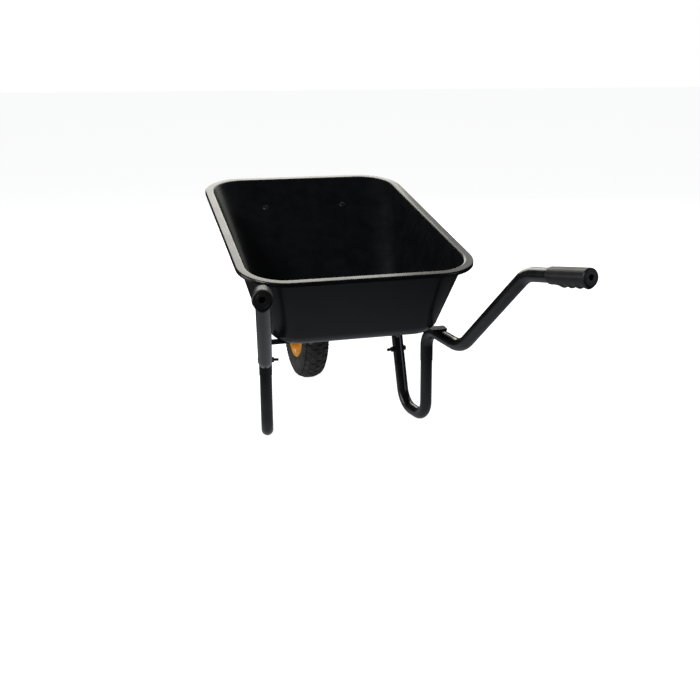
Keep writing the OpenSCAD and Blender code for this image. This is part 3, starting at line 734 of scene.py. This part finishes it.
both = (-1, 1)
flip = Matrix.Rotation(math.pi, 4, "X")
leg_places = [across_arm(LEG_BOLT_Z, hand) for hand in both]
place_copies(hex_bolt(BOLT_R, BOLT_FLATS, HEAD_H, 2 * LEG_R + NUT_H + 0.012),
             [place @ up(LEG_R) for place in leg_places],
             "leg_bolts_hex", black_zinc, "leg_bolts")
place_copies(ring_nut(BOLT_FLATS, NUT_H, BOLT_R + BORE_GAP),
             [place @ up(-LEG_R - NUT_H) for place in leg_places],
             "leg_nuts_hex", black_zinc, "leg_nuts")

FLOOR_BOLT_X = 0.110
floor_places = [tray_place @ Matrix.Translation((x * FLOOR_BOLT_X, y, 0))
                for x in both for y in (REAR_STRAP[0] + 0.004, FRONT_STRAP_Y)]
under_strap = -STRAP_T - WASHER_T
place_copies(dome_bolt(BOLT_R, SHEET + STRAP_T + WASHER_T + NUT_H + 0.004),
             [place @ up(SHEET) for place in floor_places],
             "floor_bolts_domed", zinc, "floor_bolts")
place_copies(plain_washer(2.2 * BOLT_R, BOLT_R + BORE_GAP, WASHER_T, under_strap), floor_places,
             "floor_washers_plain", zinc, "floor_washers")
place_copies(ring_nut(BOLT_FLATS, NUT_H, BOLT_R + BORE_GAP, under_strap - NUT_H), floor_places,
             "floor_nuts_hex", zinc, "floor_nuts")

# ------------------------------
# Front stays: bent flat bars that prop the tray's sloping front wall from the nose tube, with a
# foot bolted through the tube and a tab bolted under the wall.
# ------------------------------
STAY_X, STAY_W, STAY_T = 0.112, 0.025, 0.004
AXLE_Y = 0.490
TYRE_R = 0.1725
STAY_FOOT = 0.056
WALL_BOLT_H = 0.204
head_y = RIM_REAR_Y + RIM_LEN * math.cos(RIM_SLOPE) - FLANGE
head_h = RIM_REAR_H + (head_y - RIM_REAR_Y) * math.tan(RIM_SLOPE)
wall_angle = math.atan2(head_h - SHEET, head_y - FLOOR_FRONT)
wall_bolt_y = FLOOR_FRONT + (WALL_BOLT_H - SHEET) / math.tan(wall_angle)
dip_angle = math.atan((dip[1] - NOSE_Z) / (nose_along - DIP_ALONG))
nose_tilt = math.atan(math.tan(dip_angle) / math.cos(SPLAY))
foot_y = AXLE_Y + STAY_FOOT
foot_z = dip[1] - (foot_y / math.cos(SPLAY) - DIP_ALONG) * math.tan(dip_angle)
foot_up = Vector((0, math.sin(nose_tilt), math.cos(nose_tilt)))
foot_flat = Vector((0, math.cos(nose_tilt), -math.sin(nose_tilt)))
wall_out = Vector((0, math.sin(wall_angle), -math.cos(wall_angle)))
wall_places = [tray_place @ frame_at((hand * STAY_X, wall_bolt_y, WALL_BOLT_H), wall_out)
               @ up(SHEET) for hand in both]
foot_places = [frame_at((hand * (HALF_TRACK - foot_y * math.tan(SPLAY)), foot_y - MID_Y, foot_z), foot_up)
               for hand in both]
seat = wall_places[0] @ Vector((0, 0, STAY_T / 2))
along_wall = (tray_place.to_3x3() @ Vector((0, math.cos(wall_angle), math.sin(wall_angle))))
foot_mid = foot_places[0] @ Vector((0, 0, LEG_R + STAY_T / 2))
for side, hand in (("left", -1), ("right", 1)):
    x = hand * STAY_X
    route = [Vector((x, foot_mid.y, foot_mid.z)) + 0.020 * foot_flat,
             Vector((x, foot_mid.y, foot_mid.z)) - 0.020 * foot_flat,
             Vector((x, seat.y, seat.z)) - 0.013 * along_wall,
             Vector((x, seat.y, seat.z)) + 0.013 * along_wall]
    start_run = (route[1] - route[0]).normalized()
    bpy.ops.mesh.primitive_plane_add(size=1)
    stay = name_piece(started(), f"front_stay_{side}_bar")
    stay.scale = (STAY_W, STAY_T, 1)
    settle(stay)
    stay.matrix_world = frame_at(route[0], start_run)
    settle(stay)
    open_mesh()
    bpy.ops.mesh.delete(type="ONLY_FACE")
    bpy.ops.mesh.select_all(action="SELECT")
    sweep(route, [0.006, 0.006])
    bpy.ops.mesh.select_all(action="SELECT")
    bpy.ops.mesh.fill_holes(sides=4)
    close_mesh()
    clean(stay)
    soften(stay, 0.0007, 2, 50)
    clean(stay)
    dress(stay, frame_paint)
    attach(stay, "frame")
    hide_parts(f"front_stay_{side}")
place_copies(dome_bolt(BOLT_R, SHEET + STAY_T + NUT_H + 0.004),
             [place @ up(-SHEET) @ flip for place in wall_places],
             "wall_bolts_domed", black_zinc, "stay_wall_bolts")
place_copies(ring_nut(BOLT_FLATS, NUT_H, BOLT_R + BORE_GAP, STAY_T), wall_places,
             "wall_nuts_hex", zinc, "stay_wall_nuts")
place_copies(hex_bolt(BOLT_R, BOLT_FLATS, HEAD_H, 2 * LEG_R + STAY_T + NUT_H + 0.004),
             [place @ up(LEG_R + STAY_T) for place in foot_places],
             "foot_bolts_hex", zinc, "stay_foot_bolts")
place_copies(ring_nut(BOLT_FLATS, NUT_H, BOLT_R + BORE_GAP, -LEG_R - NUT_H), foot_places,
             "foot_nuts_hex", zinc, "stay_foot_nuts")

# ------------------------------
# Grips: soft black plastic sleeves pushed on the handle ends. A smooth collar, then finger bumps
# along a keel underneath, and a domed end with a moulding ring and a small vent hole.
# ------------------------------
GRIP_LEN = 0.125
GRIP_R = 0.0195
GRIP_COLLAR = 0.016
BUMPS = 4
grip_heading = Vector((0, HANDLE_BACK - UPPER_BACK, UPPER_Z - HANDLE_Z)).normalized()


def grip_radius(run):
    """Radius at a distance from the end face."""
    neck = GRIP_LEN - GRIP_COLLAR
    if run > neck:
        return GRIP_R - 0.0006
    if run < 0.004:
        return GRIP_R - 0.0022 * (1 - run / 0.004) ** 2
    return GRIP_R - 0.0004 + 0.00012 * math.cos(2 * math.pi * run / 0.0035)


def keel(run):
    """How far the underside reaches below the round at a distance from the end face."""
    reach = (GRIP_LEN - GRIP_COLLAR - 0.004) - run
    if reach <= 0:
        return 0.0
    fade = min(1.0, reach / 0.012) * min(1.0, 0.4 + run / 0.008)
    return fade * (0.0034 + 0.0016 * math.cos(2 * math.pi * (run - 0.010) * BUMPS / 0.100))


STATIONS = [0, 0.0008, 0.002, 0.004] + [0.004 + 0.0015 * k for k in range(1, 70)]
STATIONS += [0.1100, 0.1114, 0.118, 0.1235, GRIP_LEN]
bpy.ops.mesh.primitive_circle_add(vertices=64, radius=grip_radius(0), fill_type="NOTHING")
grip = name_piece(started(), "grip_right_sleeve")
settle(grip)
open_mesh()
grow([(b - a, grip_radius(b)) for a, b in zip(STATIONS, STATIONS[1:])], grip_radius(0))
for shrink, rise in ((0.94, 0.0), (0.865, 0.0), (1.0, -0.006)):
    bpy.ops.mesh.extrude_region_move(TRANSFORM_OT_translate={"value": (0, 0, rise)})
    bpy.ops.transform.resize(value=(shrink, shrink, 1))
pick_points(grip, lambda co: abs(co.z) < 1e-6)
END_STEPS = ((-0.0004, 0.0160), (0.0, 0.0135), (0.0006, 0.0130), (0.0, 0.0120), (-0.0006, 0.0114),
             (0.0, 0.0080), (0.0002, 0.0064), (0.0012, 0.0056), (0.0120, 0.0054))
grow(END_STEPS, grip_radius(0))
bpy.ops.mesh.select_all(action="SELECT")
bpy.ops.mesh.fill_holes(sides=100)
close_mesh()

# The keel is pressed out of the round underside, most at the bottom and none at the sides
for vert in grip.data.vertices:
    around = math.hypot(vert.co.x, vert.co.y)
    down = max(0.0, -vert.co.y / around) if around > 1e-6 else 0.0
    share = min(1.0, around / (GRIP_R - 0.003)) ** 3
    vert.co.y -= keel(max(vert.co.z, 0.0)) * down ** 4 * share
clean(grip, angle=40)
lift = Vector((0, -grip_heading.z, grip_heading.y))
lay = Matrix((Vector((1, 0, 0)), lift, grip_heading)).transposed().to_4x4()
turned_out = Matrix.Translation((HALF_TRACK, -MID_Y, 0)) @ Matrix.Rotation(SPLAY, 4, "Z")
grip_place = turned_out @ Matrix.Translation((0, -HANDLE_BACK, HANDLE_Z)) @ lay
grip.data.transform(grip_place)
if grip_place.determinant() < 0:
    grip.data.flip_normals()
grip_plastic = finish(
    "grip plastic", (0.0075, 0.0075, 0.0078), (0.012, 0.012, 0.0125), 0.42, 0.06, size=1300.0,
    bump=0.00006, worn_colour=(0.05, 0.05, 0.05), wear=0.35, dust_and_light_amount=0.05, dust_and_light_height=0.8,
)


grip_left = name_piece(copy_to(grip, Matrix.Scale(-1, 4, (1, 0, 0))), "grip_left_sleeve")
grip_left.data.flip_normals()
for side, sleeve in (("right", grip), ("left", grip_left)):
    dress(sleeve, grip_plastic)
    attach(sleeve, "frame")
    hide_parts(f"grip_{side}")

# ------------------------------
# Axle brackets: 5 mm plates cut to the nose tube and welded under it, one each side of the wheel,
# with a round eye for the axle.
# ------------------------------
BRACKET_T = 0.005
EYE_R = 0.022
AXLE_R = 0.008
HUB_LEN = 0.100
bracket_x = HALF_TRACK - AXLE_Y * math.tan(SPLAY) - 0.014
bracket_top = dip[1] - (AXLE_Y / math.cos(SPLAY) - DIP_ALONG) * math.tan(dip_angle) + 0.008
axle_y = AXLE_Y - MID_Y
for side, hand in (("left", -1), ("right", 1)):
    eye = (hand * bracket_x, axle_y, TYRE_R)
    bpy.ops.mesh.primitive_circle_add(
        vertices=48, radius=EYE_R, fill_type="NGON", location=eye, rotation=(0, math.pi / 2, 0))
    plate = name_piece(started(), f"axle_bracket_{side}_plate")
    settle(plate)
    bpy.ops.object.mode_set(mode="EDIT")
    pick_points(plate, lambda co: co.z > TYRE_R - 1e-5)
    bpy.ops.transform.resize(value=(1, 25 / 22, 0), center_override=eye)
    bpy.ops.transform.translate(value=(0, 0, bracket_top - TYRE_R))
    close_mesh()
    add_modifier(plate, "SOLIDIFY", thickness=BRACKET_T, offset=0)
    clean(plate)
    tube_start = side_point(DIP_ALONG, dip[1], hand=hand)
    tube_end = side_point(nose_along, NOSE_Z, hand=hand)
    mid = (tube_start + tube_end) / 2
    drill(plate, frame_at(mid, tube_end - tube_start), LEG_R + 0.00005, (tube_end - tube_start).length)
    drill(plate, frame_at(eye, (1, 0, 0), (0, 0, 1)), AXLE_R + 0.0002, 0.05)
    soften(plate, 0.0006, 2, 40)
    clean(plate)
    dress(plate, frame_paint)
    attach(plate, "frame")
    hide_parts(f"axle_bracket_{side}")

bracket_welds = []
for hand in both:
    for face in both:
        for end in both:
            x = hand * bracket_x + face * (BRACKET_T / 2 + 0.0008)
            y0 = axle_y + end * 0.006
            y1 = axle_y + end * 0.023
            line = []
            for y in (y0, y1):
                along = (y + MID_Y) / math.cos(SPLAY)
                centre_z = dip[1] - (along - DIP_ALONG) * math.tan(dip_angle)
                off = abs(x) - (HALF_TRACK - (y + MID_Y) * math.tan(SPLAY))
                off = min(abs(off), LEG_R * 0.98)
                drop = math.sqrt(max(LEG_R ** 2 - off ** 2, 0)) / math.cos(nose_tilt)
                line.append(Vector((x, y, centre_z - drop - 0.0006)))
            bracket_welds.append((line[0], line[1], 8))
weld_bead("bracket_welds", bracket_welds)

# ------------------------------
# Axle: a 16 mm bolt through both brackets with washers and a nut, and spacer tubes that keep the
# bearings in the middle. Everything lies along the wheel's own line.
# ------------------------------
AXLE_FLATS = 0.024
AXLE_WASHER_T = 0.0025
AXLE_NUT_H = 0.013
AXLE_HEAD_H = 0.010
axle_place = frame_at((0, axle_y, TYRE_R), (1, 0, 0), (0, 0, 1))
outer = bracket_x + BRACKET_T / 2
reach = outer + AXLE_WASHER_T
place_copies(hex_bolt(AXLE_R, AXLE_FLATS, AXLE_HEAD_H, 2 * reach + AXLE_NUT_H + 0.005, 0.0018, 0.18),
             [axle_place @ up(reach)], "axle_bolt", zinc, "axle")
place_copies(ring_nut(AXLE_FLATS, AXLE_NUT_H, AXLE_R + BORE_GAP),
             [axle_place @ up(-reach - AXLE_NUT_H)],
             "axle_nut_hex", zinc, "axle_nut")
place_copies(plain_washer(2 * AXLE_R, AXLE_R + BORE_GAP, AXLE_WASHER_T),
             [axle_place @ up(z) for z in (outer, -reach)],
             "axle_washers_plain", zinc, "axle_washers")


def turned(name, profile, steps=72):
    """A ring or sleeve turned round the wheel's line from a closed outline of (along, radius)."""
    bpy.ops.mesh.primitive_circle_add(vertices=3, radius=0.001)
    piece = name_piece(started(), name)
    bpy.ops.object.mode_set(mode="EDIT")
    bpy.ops.mesh.select_mode(type="VERT")
    bpy.ops.mesh.select_all(action="SELECT")
    bpy.ops.mesh.merge(type="CENTER")
    here = Vector((0.0, 0.0, 0.0))
    first = True
    for along, radius in [*profile, profile[0]]:
        wanted = Vector((along, 0.0, radius))
        if first:
            bpy.ops.transform.translate(value=wanted - here)
            first = False
        else:
            bpy.ops.mesh.extrude_region_move(TRANSFORM_OT_translate={"value": wanted - here})
        here = wanted
    bpy.ops.mesh.select_all(action="SELECT")
    bpy.ops.mesh.spin(steps=steps, angle=2 * math.pi, center=(0, 0, 0), axis=(1, 0, 0))
    close_mesh()
    piece.data.transform(Matrix.Translation((0, axle_y, TYRE_R)))
    return clean(piece, angle=30)


def sleeve_outline(x0, x1, r0, r1, edge=0.0005):
    return [(x0 + edge, r1), (x1 - edge, r1), (x1, r1 - edge), (x1, r0), (x0, r0), (x0, r1 - edge)]


inner_face = bracket_x - BRACKET_T / 2
for name, x0, x1 in (("spacer_right", HUB_LEN / 2, inner_face), ("spacer_left", -inner_face, -HUB_LEN / 2),
                     ("hub_spacer", -HUB_LEN / 2 + 0.011, HUB_LEN / 2 - 0.011)):
    spacer = turned(f"{name}_tube", sleeve_outline(x0, x1, AXLE_R + BORE_GAP, AXLE_R + 0.004), 40)
    dress(spacer, zinc)
    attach(spacer, "frame")
    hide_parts(name)

# ------------------------------
# Hub and bearings: two sealed ball bearings pressed into a turned hub whose middle flange carries
# the rim. The seals hide the balls, and show as dark discs between the races.
# ------------------------------
BEARING_W, BEARING_R, BALL_PATH_R, RACE_GAP = 0.011, 0.0175, 0.013, 0.0018
bearing_steel = finish(
    "bearing steel", (0.45, 0.45, 0.46), (0.55, 0.55, 0.56), 0.22, 0.05, metal=1.0, size=2000.0,
    bump=0.00001, wear=0.1, dust_and_light_amount=0.1, dust_and_light_height=0.3,
)
for name, node, r0, r1, body in (
    ("inner_races", "bearing_inner_races", AXLE_R + 0.00003, BALL_PATH_R - RACE_GAP, "frame"),
    ("outer_races", "bearing_outer_races", BALL_PATH_R + RACE_GAP, BEARING_R, "wheel"),
):
    pair = []
    for hand in both:
        x0 = hand * (HUB_LEN / 2 - BEARING_W / 2) - BEARING_W / 2
        pair.append(turned(f"{name}_{hand}", sleeve_outline(x0, x0 + BEARING_W, r0, r1, 0.0004), 48))
    races = name_piece(joined(pair), name)
    dress(races, bearing_steel)
    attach(races, body)
    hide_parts(node)
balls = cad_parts["bearing_balls"]
balls.data.materials.clear()
balls.data.materials.append(bearing_steel)
seal_rubber = finish(
    "seal rubber", (0.01, 0.01, 0.01), (0.018, 0.018, 0.018), 0.5, 0.05, size=1500.0, dust_and_light_amount=0.2,
    dust_and_light_height=0.3,
)
seals = []
for hand in both:
    x0 = hand * (HUB_LEN / 2 - 0.0012) - 0.0004
    seals.append(turned(f"seal_{hand}", sleeve_outline(
        x0, x0 + 0.0008, BALL_PATH_R - RACE_GAP + 0.0003, BALL_PATH_R + RACE_GAP - 0.0001, 0.0002), 48))
seal_pair = name_piece(joined(seals), "bearing_seals")
dress(seal_pair, seal_rubber)
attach(seal_pair, "wheel")

HUB_R, HUB_FLANGE_R, HUB_FLANGE_T = 0.0225, 0.052, 0.005
# On this enamel the pale yellow layer low down is painted light: the rim's lower part painted paler yellow,
# as if lit more brightly.
rim_paint = finish(
    "yellow rim enamel", (0.90, 0.36, 0.02), (0.98, 0.46, 0.04), 0.30, 0.05, size=700.0, bump=0.00005,
    worn_colour=(0.95, 0.72, 0.30), wear=0.5, dust_and_light_amount=0.45, dust_and_light_height=0.16, coat=0.3,
    dust_and_light_colour=(0.85, 0.70, 0.42),
)
half_hub = HUB_LEN / 2
web = HUB_FLANGE_T / 2
hub = turned("hub_body", [
    (half_hub - 0.001, HUB_R), (half_hub, HUB_R - 0.001), (half_hub, BEARING_R + 0.00003),
    (half_hub - BEARING_W, BEARING_R + 0.00003), (half_hub - BEARING_W, BEARING_R - 0.0015),
    (BEARING_W - half_hub, BEARING_R - 0.0015), (BEARING_W - half_hub, BEARING_R + 0.00003),
    (-half_hub, BEARING_R + 0.00003), (-half_hub, HUB_R - 0.001), (0.001 - half_hub, HUB_R),
    (-web - 0.003, HUB_R), (-web, HUB_R + 0.003), (-web, HUB_FLANGE_R), (web, HUB_FLANGE_R),
    (web, HUB_R + 0.003), (web + 0.003, HUB_R),
])
dress(hub, rim_paint)
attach(hub, "wheel")
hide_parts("hub")

# ------------------------------
# Rim: two pressed steel halves, bolted face to face on the hub's flange, with a stiffening step
# in the web, a sloping well, a bead seat and a rolled edge. Yellow enamel.
# ------------------------------
BEAD_SEAT_R = 0.1015
RIM_T = 0.0025
RIM_HALF_W = 0.030
RIM_BOLT_PATH = 0.038
rim_line = [
    (web, HUB_R + 0.0036), (web, 0.056), (web + 0.0010, 0.0590), (web + 0.0042, 0.0630),
    (web + 0.0050, 0.0665), (web + 0.0050, 0.0780), (web + 0.0040, 0.0815), (web + 0.0008, 0.0855),
    (web, 0.0885), (web + 0.0012, 0.0915), (web + 0.0060, 0.0970), (web + 0.0090, 0.0988),
    (RIM_HALF_W - 0.0050, 0.1009), (RIM_HALF_W - 0.0022, 0.1020), (RIM_HALF_W - 0.0008, 0.1045),
    (RIM_HALF_W + 0.0002, 0.1082), (RIM_HALF_W + 0.0012, 0.1098),
]


def thick_line(line, thickness):
    """The closed outline of a sheet of that thickness on the outer side of a line."""
    far = []
    for i, point in enumerate(line):
        before = Vector(line[max(i - 1, 0)])
        after = Vector(line[min(i + 1, len(line) - 1)])
        run = (after - before).normalized()
        far.append((point[0] + thickness * run.y, point[1] - thickness * run.x))
    return [*line, *reversed(far)]


bolt_places = []
for k in range(4):
    angle = math.pi / 2 * (k + 0.5)
    centre = (0, axle_y + RIM_BOLT_PATH * math.sin(angle), TYRE_R + RIM_BOLT_PATH * math.cos(angle))
    bolt_places.append(frame_at(centre, (1, 0, 0), (0, 0, 1)))
for side, hand in (("right", 1), ("left", -1)):
    rim = turned(f"rim_{side}", [(hand * x, r) for x, r in thick_line(rim_line, RIM_T)], 96)
    if side == "left":
        drill(rim, frame_at((-0.014, axle_y, TYRE_R + 0.095), (0, 0, 1)), 0.0042, 0.04)
        clean(rim, angle=30)
    dress(rim, rim_paint)
    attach(rim, "wheel")
    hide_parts(f"rim_half_{side}")

stack = HUB_FLANGE_T + 2 * RIM_T
place_copies(hex_bolt(BOLT_R, BOLT_FLATS, HEAD_H, stack + NUT_H + 0.003),
             [place @ up(stack / 2) for place in bolt_places],
             "rim_bolts_hex", zinc, "rim_bolts", "wheel")
place_copies(ring_nut(BOLT_FLATS, NUT_H, BOLT_R + BORE_GAP, -stack / 2 - NUT_H), bolt_places,
             "rim_nuts_hex", zinc, "rim_nuts", "wheel")

# ------------------------------
# Tyre: a two-ply pneumatic tyre, moulded rubber, with four rows of blocks round the crown, lugs
# down the shoulders and raised rings on the sidewalls.
# ------------------------------
TYRE_HALF_W = 0.038
BLOCK_H = 0.0028
BLOCKS = 38
LUG_DEPTH = 0.0075
SHOULDER_X, SHOULDER_R = 0.0338, 0.1555
section_mid = (TYRE_R + BEAD_SEAT_R) / 2
section_half = (TYRE_R - BEAD_SEAT_R) / 2


def section_point(angle, half_w, half_h, square):
    c, s = math.cos(angle), math.sin(angle)
    return (half_w * math.copysign(abs(c) ** square, c),
            section_mid + half_h * math.copysign(abs(s) ** square, s))


bead_out = RIM_HALF_W - RIM_T / 2 - 0.0007
tyre_line = [(bead_out - 0.009, BEAD_SEAT_R), (bead_out, BEAD_SEAT_R), (bead_out, BEAD_SEAT_R + 0.008)]
RING_SPOTS = ((-22, 0.0009), (-15, 0.0009), (8, 0.0007), (12, 0.0007))
for k in range(65):
    degrees = -38 + 256 * k / 64
    mirror_degrees = degrees if degrees <= 90 else 180 - degrees
    lift = sum(height for at, height in RING_SPOTS if abs(mirror_degrees - at) < 2.1)
    on_crown = max(0.0, min(1.0, (mirror_degrees - 26) / 10))
    x, r = section_point(math.radians(degrees), TYRE_HALF_W - 0.0012 + lift - 0.001 * on_crown,
                         section_half - BLOCK_H * on_crown, 0.85)
    tyre_line.append((x, r))
tyre_line += [(-bead_out, BEAD_SEAT_R + 0.008), (-bead_out, BEAD_SEAT_R), (0.009 - bead_out, BEAD_SEAT_R),
              (0.009 - bead_out, BEAD_SEAT_R + 0.009)]
for k in range(25):
    degrees = 218 - 256 * k / 24
    tyre_line.append(section_point(math.radians(degrees), TYRE_HALF_W - 0.006, section_half - 0.0075, 0.95))
tyre_line.append((bead_out - 0.009, BEAD_SEAT_R + 0.009))
carcass = turned("tyre_carcass", tyre_line, 128)


def tread_block(width, length, height):
    """One block of the tread: wider at its root, its edges softened."""
    bpy.ops.mesh.primitive_cube_add(size=1, location=(0, 0, 0))
    block = started()
    block.scale = (width, length, height)
    settle(block)
    bpy.ops.object.mode_set(mode="EDIT")
    pick_points(block, lambda co: co.z > 0)
    bpy.ops.transform.resize(value=(0.88, 0.9, 1))
    close_mesh()
    soften(block, 0.0005, 1, 40)
    return block


def round_wheel(angle):
    return Matrix.Translation((0, axle_y, TYRE_R)) @ Matrix.Rotation(angle, 4, "X")


# Across the tyre, start round it in steps, width, length and skew
ROWS = (
    (0.0078, 0.0, 0.0140, 0.0170, 0.16),
    (-0.0078, 0.5, 0.0140, 0.0170, -0.16),
    (0.0228, 0.5, 0.0135, 0.0160, -0.10),
    (-0.0228, 0.0, 0.0135, 0.0160, 0.10),
)
lugs = []
for x, phase, width, length, skew in ROWS:
    root = tread_block(width, length, LUG_DEPTH)
    lean = math.copysign(1, x) * (0.10 if abs(x) < 0.015 else 0.42)
    crown_r = TYRE_R - (0.0004 if abs(x) < 0.015 else 0.0052)
    for k in range(BLOCKS):
        angle = 2 * math.pi * (k + phase) / BLOCKS
        lugs.append(copy_to(root, round_wheel(angle)
                            @ Matrix.Translation((x, 0, crown_r - LUG_DEPTH / 2))
                            @ Matrix.Rotation(lean, 4, "Y") @ Matrix.Rotation(skew, 4, "Z")))
    bpy.data.objects.remove(root)
shoulder = tread_block(0.0030, 0.0075, 0.0120)
for hand in both:
    for k in range(2 * BLOCKS):
        angle = 2 * math.pi * (k + 0.25) / (2 * BLOCKS)
        lugs.append(copy_to(shoulder, round_wheel(angle)
                            @ Matrix.Translation((hand * SHOULDER_X, 0, SHOULDER_R))
                            @ Matrix.Rotation(-hand * 0.40, 4, "Y")))
bpy.data.objects.remove(shoulder)
tyre = name_piece(gathered([carcass, *lugs]), "tyre_with_tread")
bpy.ops.object.shade_smooth_by_angle(angle=math.radians(32))
rubber = finish(
    "tyre rubber", (0.010, 0.010, 0.010), (0.022, 0.021, 0.020), 0.62, 0.10, size=800.0, bump=0.0001,
    worn_colour=(0.10, 0.095, 0.09), wear=0.7, dust_and_light_amount=0.55, dust_and_light_height=0.30,
    dust_and_light_colour=(0.16, 0.15, 0.14),
)
dress(tyre, rubber)
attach(tyre, "wheel")
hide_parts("tyre")

# ------------------------------
# Inner tube and valve: a butyl tube inside the tyre, and its rubber valve stem with a screwed cap,
# which comes out through the left rim half.
# ------------------------------
TUBE_SECTION_R = 0.027
VALVE_X, VALVE_R = -0.014, 0.0032
valve_tip = BEAD_SEAT_R - 0.028
tube_rubber = finish(
    "tube rubber", (0.012, 0.012, 0.012), (0.020, 0.020, 0.020), 0.5, 0.06, size=1200.0,
    dust_and_light_amount=0.2, dust_and_light_height=0.3,
)
ring_steps = [2 * math.pi * k / 28 for k in range(28)]
outside = [(TUBE_SECTION_R * math.cos(a), section_mid + TUBE_SECTION_R * math.sin(a)) for a in ring_steps]
air_tube = turned("inner_tube_ring", outside, 72)
dress(air_tube, tube_rubber)
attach(air_tube, "wheel")
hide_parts("inner_tube")

stem_top = section_mid - TUBE_SECTION_R + 0.004
bpy.ops.mesh.primitive_circle_add(vertices=32, radius=VALVE_R, fill_type="NGON")
stem = name_piece(started(), "valve_stem_body")
open_mesh()
grow(((0.006, VALVE_R), (0.0005, VALVE_R * 1.25), (0.003, VALVE_R * 1.25), (0.0005, VALVE_R),
      (stem_top - valve_tip - 0.016, VALVE_R * 1.05), (0.006, VALVE_R * 1.7)), VALVE_R)
close_mesh()
valve_place = Matrix.Translation((VALVE_X, axle_y, TYRE_R + valve_tip))
stem.data.transform(valve_place)
clean(stem)
dress(stem, tube_rubber)
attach(stem, "wheel")
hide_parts("valve_stem")

bpy.ops.mesh.primitive_cylinder_add(vertices=24, radius=VALVE_R + 0.0007, depth=0.009,
                                    location=(0, 0, -0.0045))
cap = name_piece(started(), "valve_cap_knurled")
settle(cap)
bpy.ops.object.mode_set(mode="EDIT")
bpy.ops.mesh.select_all(action="DESELECT")
mesh = bmesh.from_edit_mesh(cap.data)
for face in mesh.faces:
    face.select_set(abs(face.normal.z) < 0.5 and face.index % 2 == 0)
bmesh.update_edit_mesh(cap.data)
bpy.ops.mesh.inset(thickness=0.0002, depth=-0.0003, use_individual=True)
close_mesh()
soften(cap, 0.0002, 1, 50)
cap.data.transform(valve_place)
clean(cap)
dress(cap, grip_plastic)
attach(cap, "wheel")
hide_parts("valve_cap")

# ------------------------------
# Floor, light and camera: a plain pale floor and a soft, bright studio.
# ------------------------------
scene = bpy.context.scene
scene.view_settings.view_transform = "Standard"
bpy.ops.mesh.primitive_plane_add(size=60, location=(0, 0, -0.0004))
floor = name_piece(started(), "studio_floor")


def seen_or_felt(tree, seen, felt):
    """The first shader for what the camera sees, the second for light and reflections."""
    path = tree.nodes.new("ShaderNodeLightPath")
    pick = tree.nodes.new("ShaderNodeMixShader")
    tree.links.new(path.outputs["Is Camera Ray"], pick.inputs["Fac"])
    tree.links.new(felt.outputs[0], pick.inputs[1])
    tree.links.new(seen.outputs[0], pick.inputs[2])
    return pick.outputs[0]


floor_finish = bpy.data.materials.new("pale floor")
floor_finish.use_nodes = True
floor_tree = floor_finish.node_tree
floor_shader = floor_tree.nodes["Principled BSDF"]
speckle = noise(floor_tree, 3.0, 2.0, 0.5)
floor_tree.links.new(mixed(floor_tree, speckle.outputs["Fac"], (0.90, 0.90, 0.90), (0.92, 0.92, 0.92)),
                     floor_shader.inputs["Base Color"])
set_inputs(floor_shader, {"Roughness": 0.9, "Specular IOR Level": 0.0,
                          "Emission Color": (1, 1, 1, 1), "Emission Strength": 0.93})
floor_place = floor_tree.nodes.new("ShaderNodeTexCoord")
spread = floor_tree.nodes.new("ShaderNodeVectorMath")
spread.operation = "LENGTH"
floor_tree.links.new(floor_place.outputs["Object"], spread.inputs[0])
floor_glow = floor_tree.nodes.new("ShaderNodeEmission")
floor_glow.inputs["Color"].default_value = (0.90, 0.93, 1.0, 1)
floor_tree.links.new(remap(floor_tree, spread.outputs["Value"], 0.25, 0.9, 0.36, 0.02),
                     floor_glow.inputs["Strength"])
floor_tree.links.new(seen_or_felt(floor_tree, floor_shader, floor_glow),
                     floor_tree.nodes["Material Output"].inputs["Surface"])
floor.data.materials.append(floor_finish)

world = bpy.data.worlds.new("studio")
scene.world = world
world.use_nodes = True
world_tree = world.node_tree
backdrop = world_tree.nodes["Background"]
set_inputs(backdrop, {"Color": (1, 1, 1, 1), "Strength": 1.0})
room = world_tree.nodes.new("ShaderNodeBackground")
set_inputs(room, {"Color": (0.85, 0.92, 1.0, 1), "Strength": 0.03})
world_tree.links.new(seen_or_felt(world_tree, backdrop, room),
                     world_tree.nodes["World Output"].inputs["Surface"])


def softbox(name, place, aim, size, power, colour=(1, 1, 1)):
    data = bpy.data.lights.new(name, "AREA")
    data.shape = "RECTANGLE"
    data.size, data.size_y = size
    data.energy = power
    data.color = colour
    lamp = bpy.data.objects.new(name, data)
    scene.collection.objects.link(lamp)
    lamp.location = place
    lamp.rotation_euler = (Vector(aim) - Vector(place)).to_track_quat("-Z", "Y").to_euler()
    lamp.visible_camera = False


softbox("far panel", (0.35, 3.1, 2.0), (0, 0, 0.5), (1.9, 2.2), 42, (1.0, 0.98, 0.90))
softbox("far side", (2.3, 1.8, 1.6), (0, 0, 0.5), (1.7, 2.0), 7, (1.0, 0.99, 0.94))
softbox("far right", (1.75, 2.5, 2.5), (0, 0, 0.5), (1.1, 1.2), 4, (1.0, 0.99, 0.94))
softbox("key", (-2.3, -1.1, 2.3), (0, 0, 0.3), (0.8, 0.8), 45)
softbox("low left", (-2.4, 0.5, 0.5), (0, 0.4, 0.2), (1.2, 0.8), 14)
softbox("window", (2.5, -2.35, 0.6), (0.3, -0.66, 0.5), (1.1, 1.1), 6, (0.75, 0.82, 1.0))

camera_data = bpy.data.cameras.new("camera")
camera_data.sensor_width = 36
camera_data.lens = 50.18
camera_data.shift_x = -0.0363
camera_data.shift_y = -0.0522
camera = bpy.data.objects.new("camera", camera_data)
scene.collection.objects.link(camera)
camera.location = (-0.6177, -2.3193, 0.9194)
camera.rotation_euler = (math.radians(90 - 14.48), 0, math.radians(-16.91))
scene.camera = camera
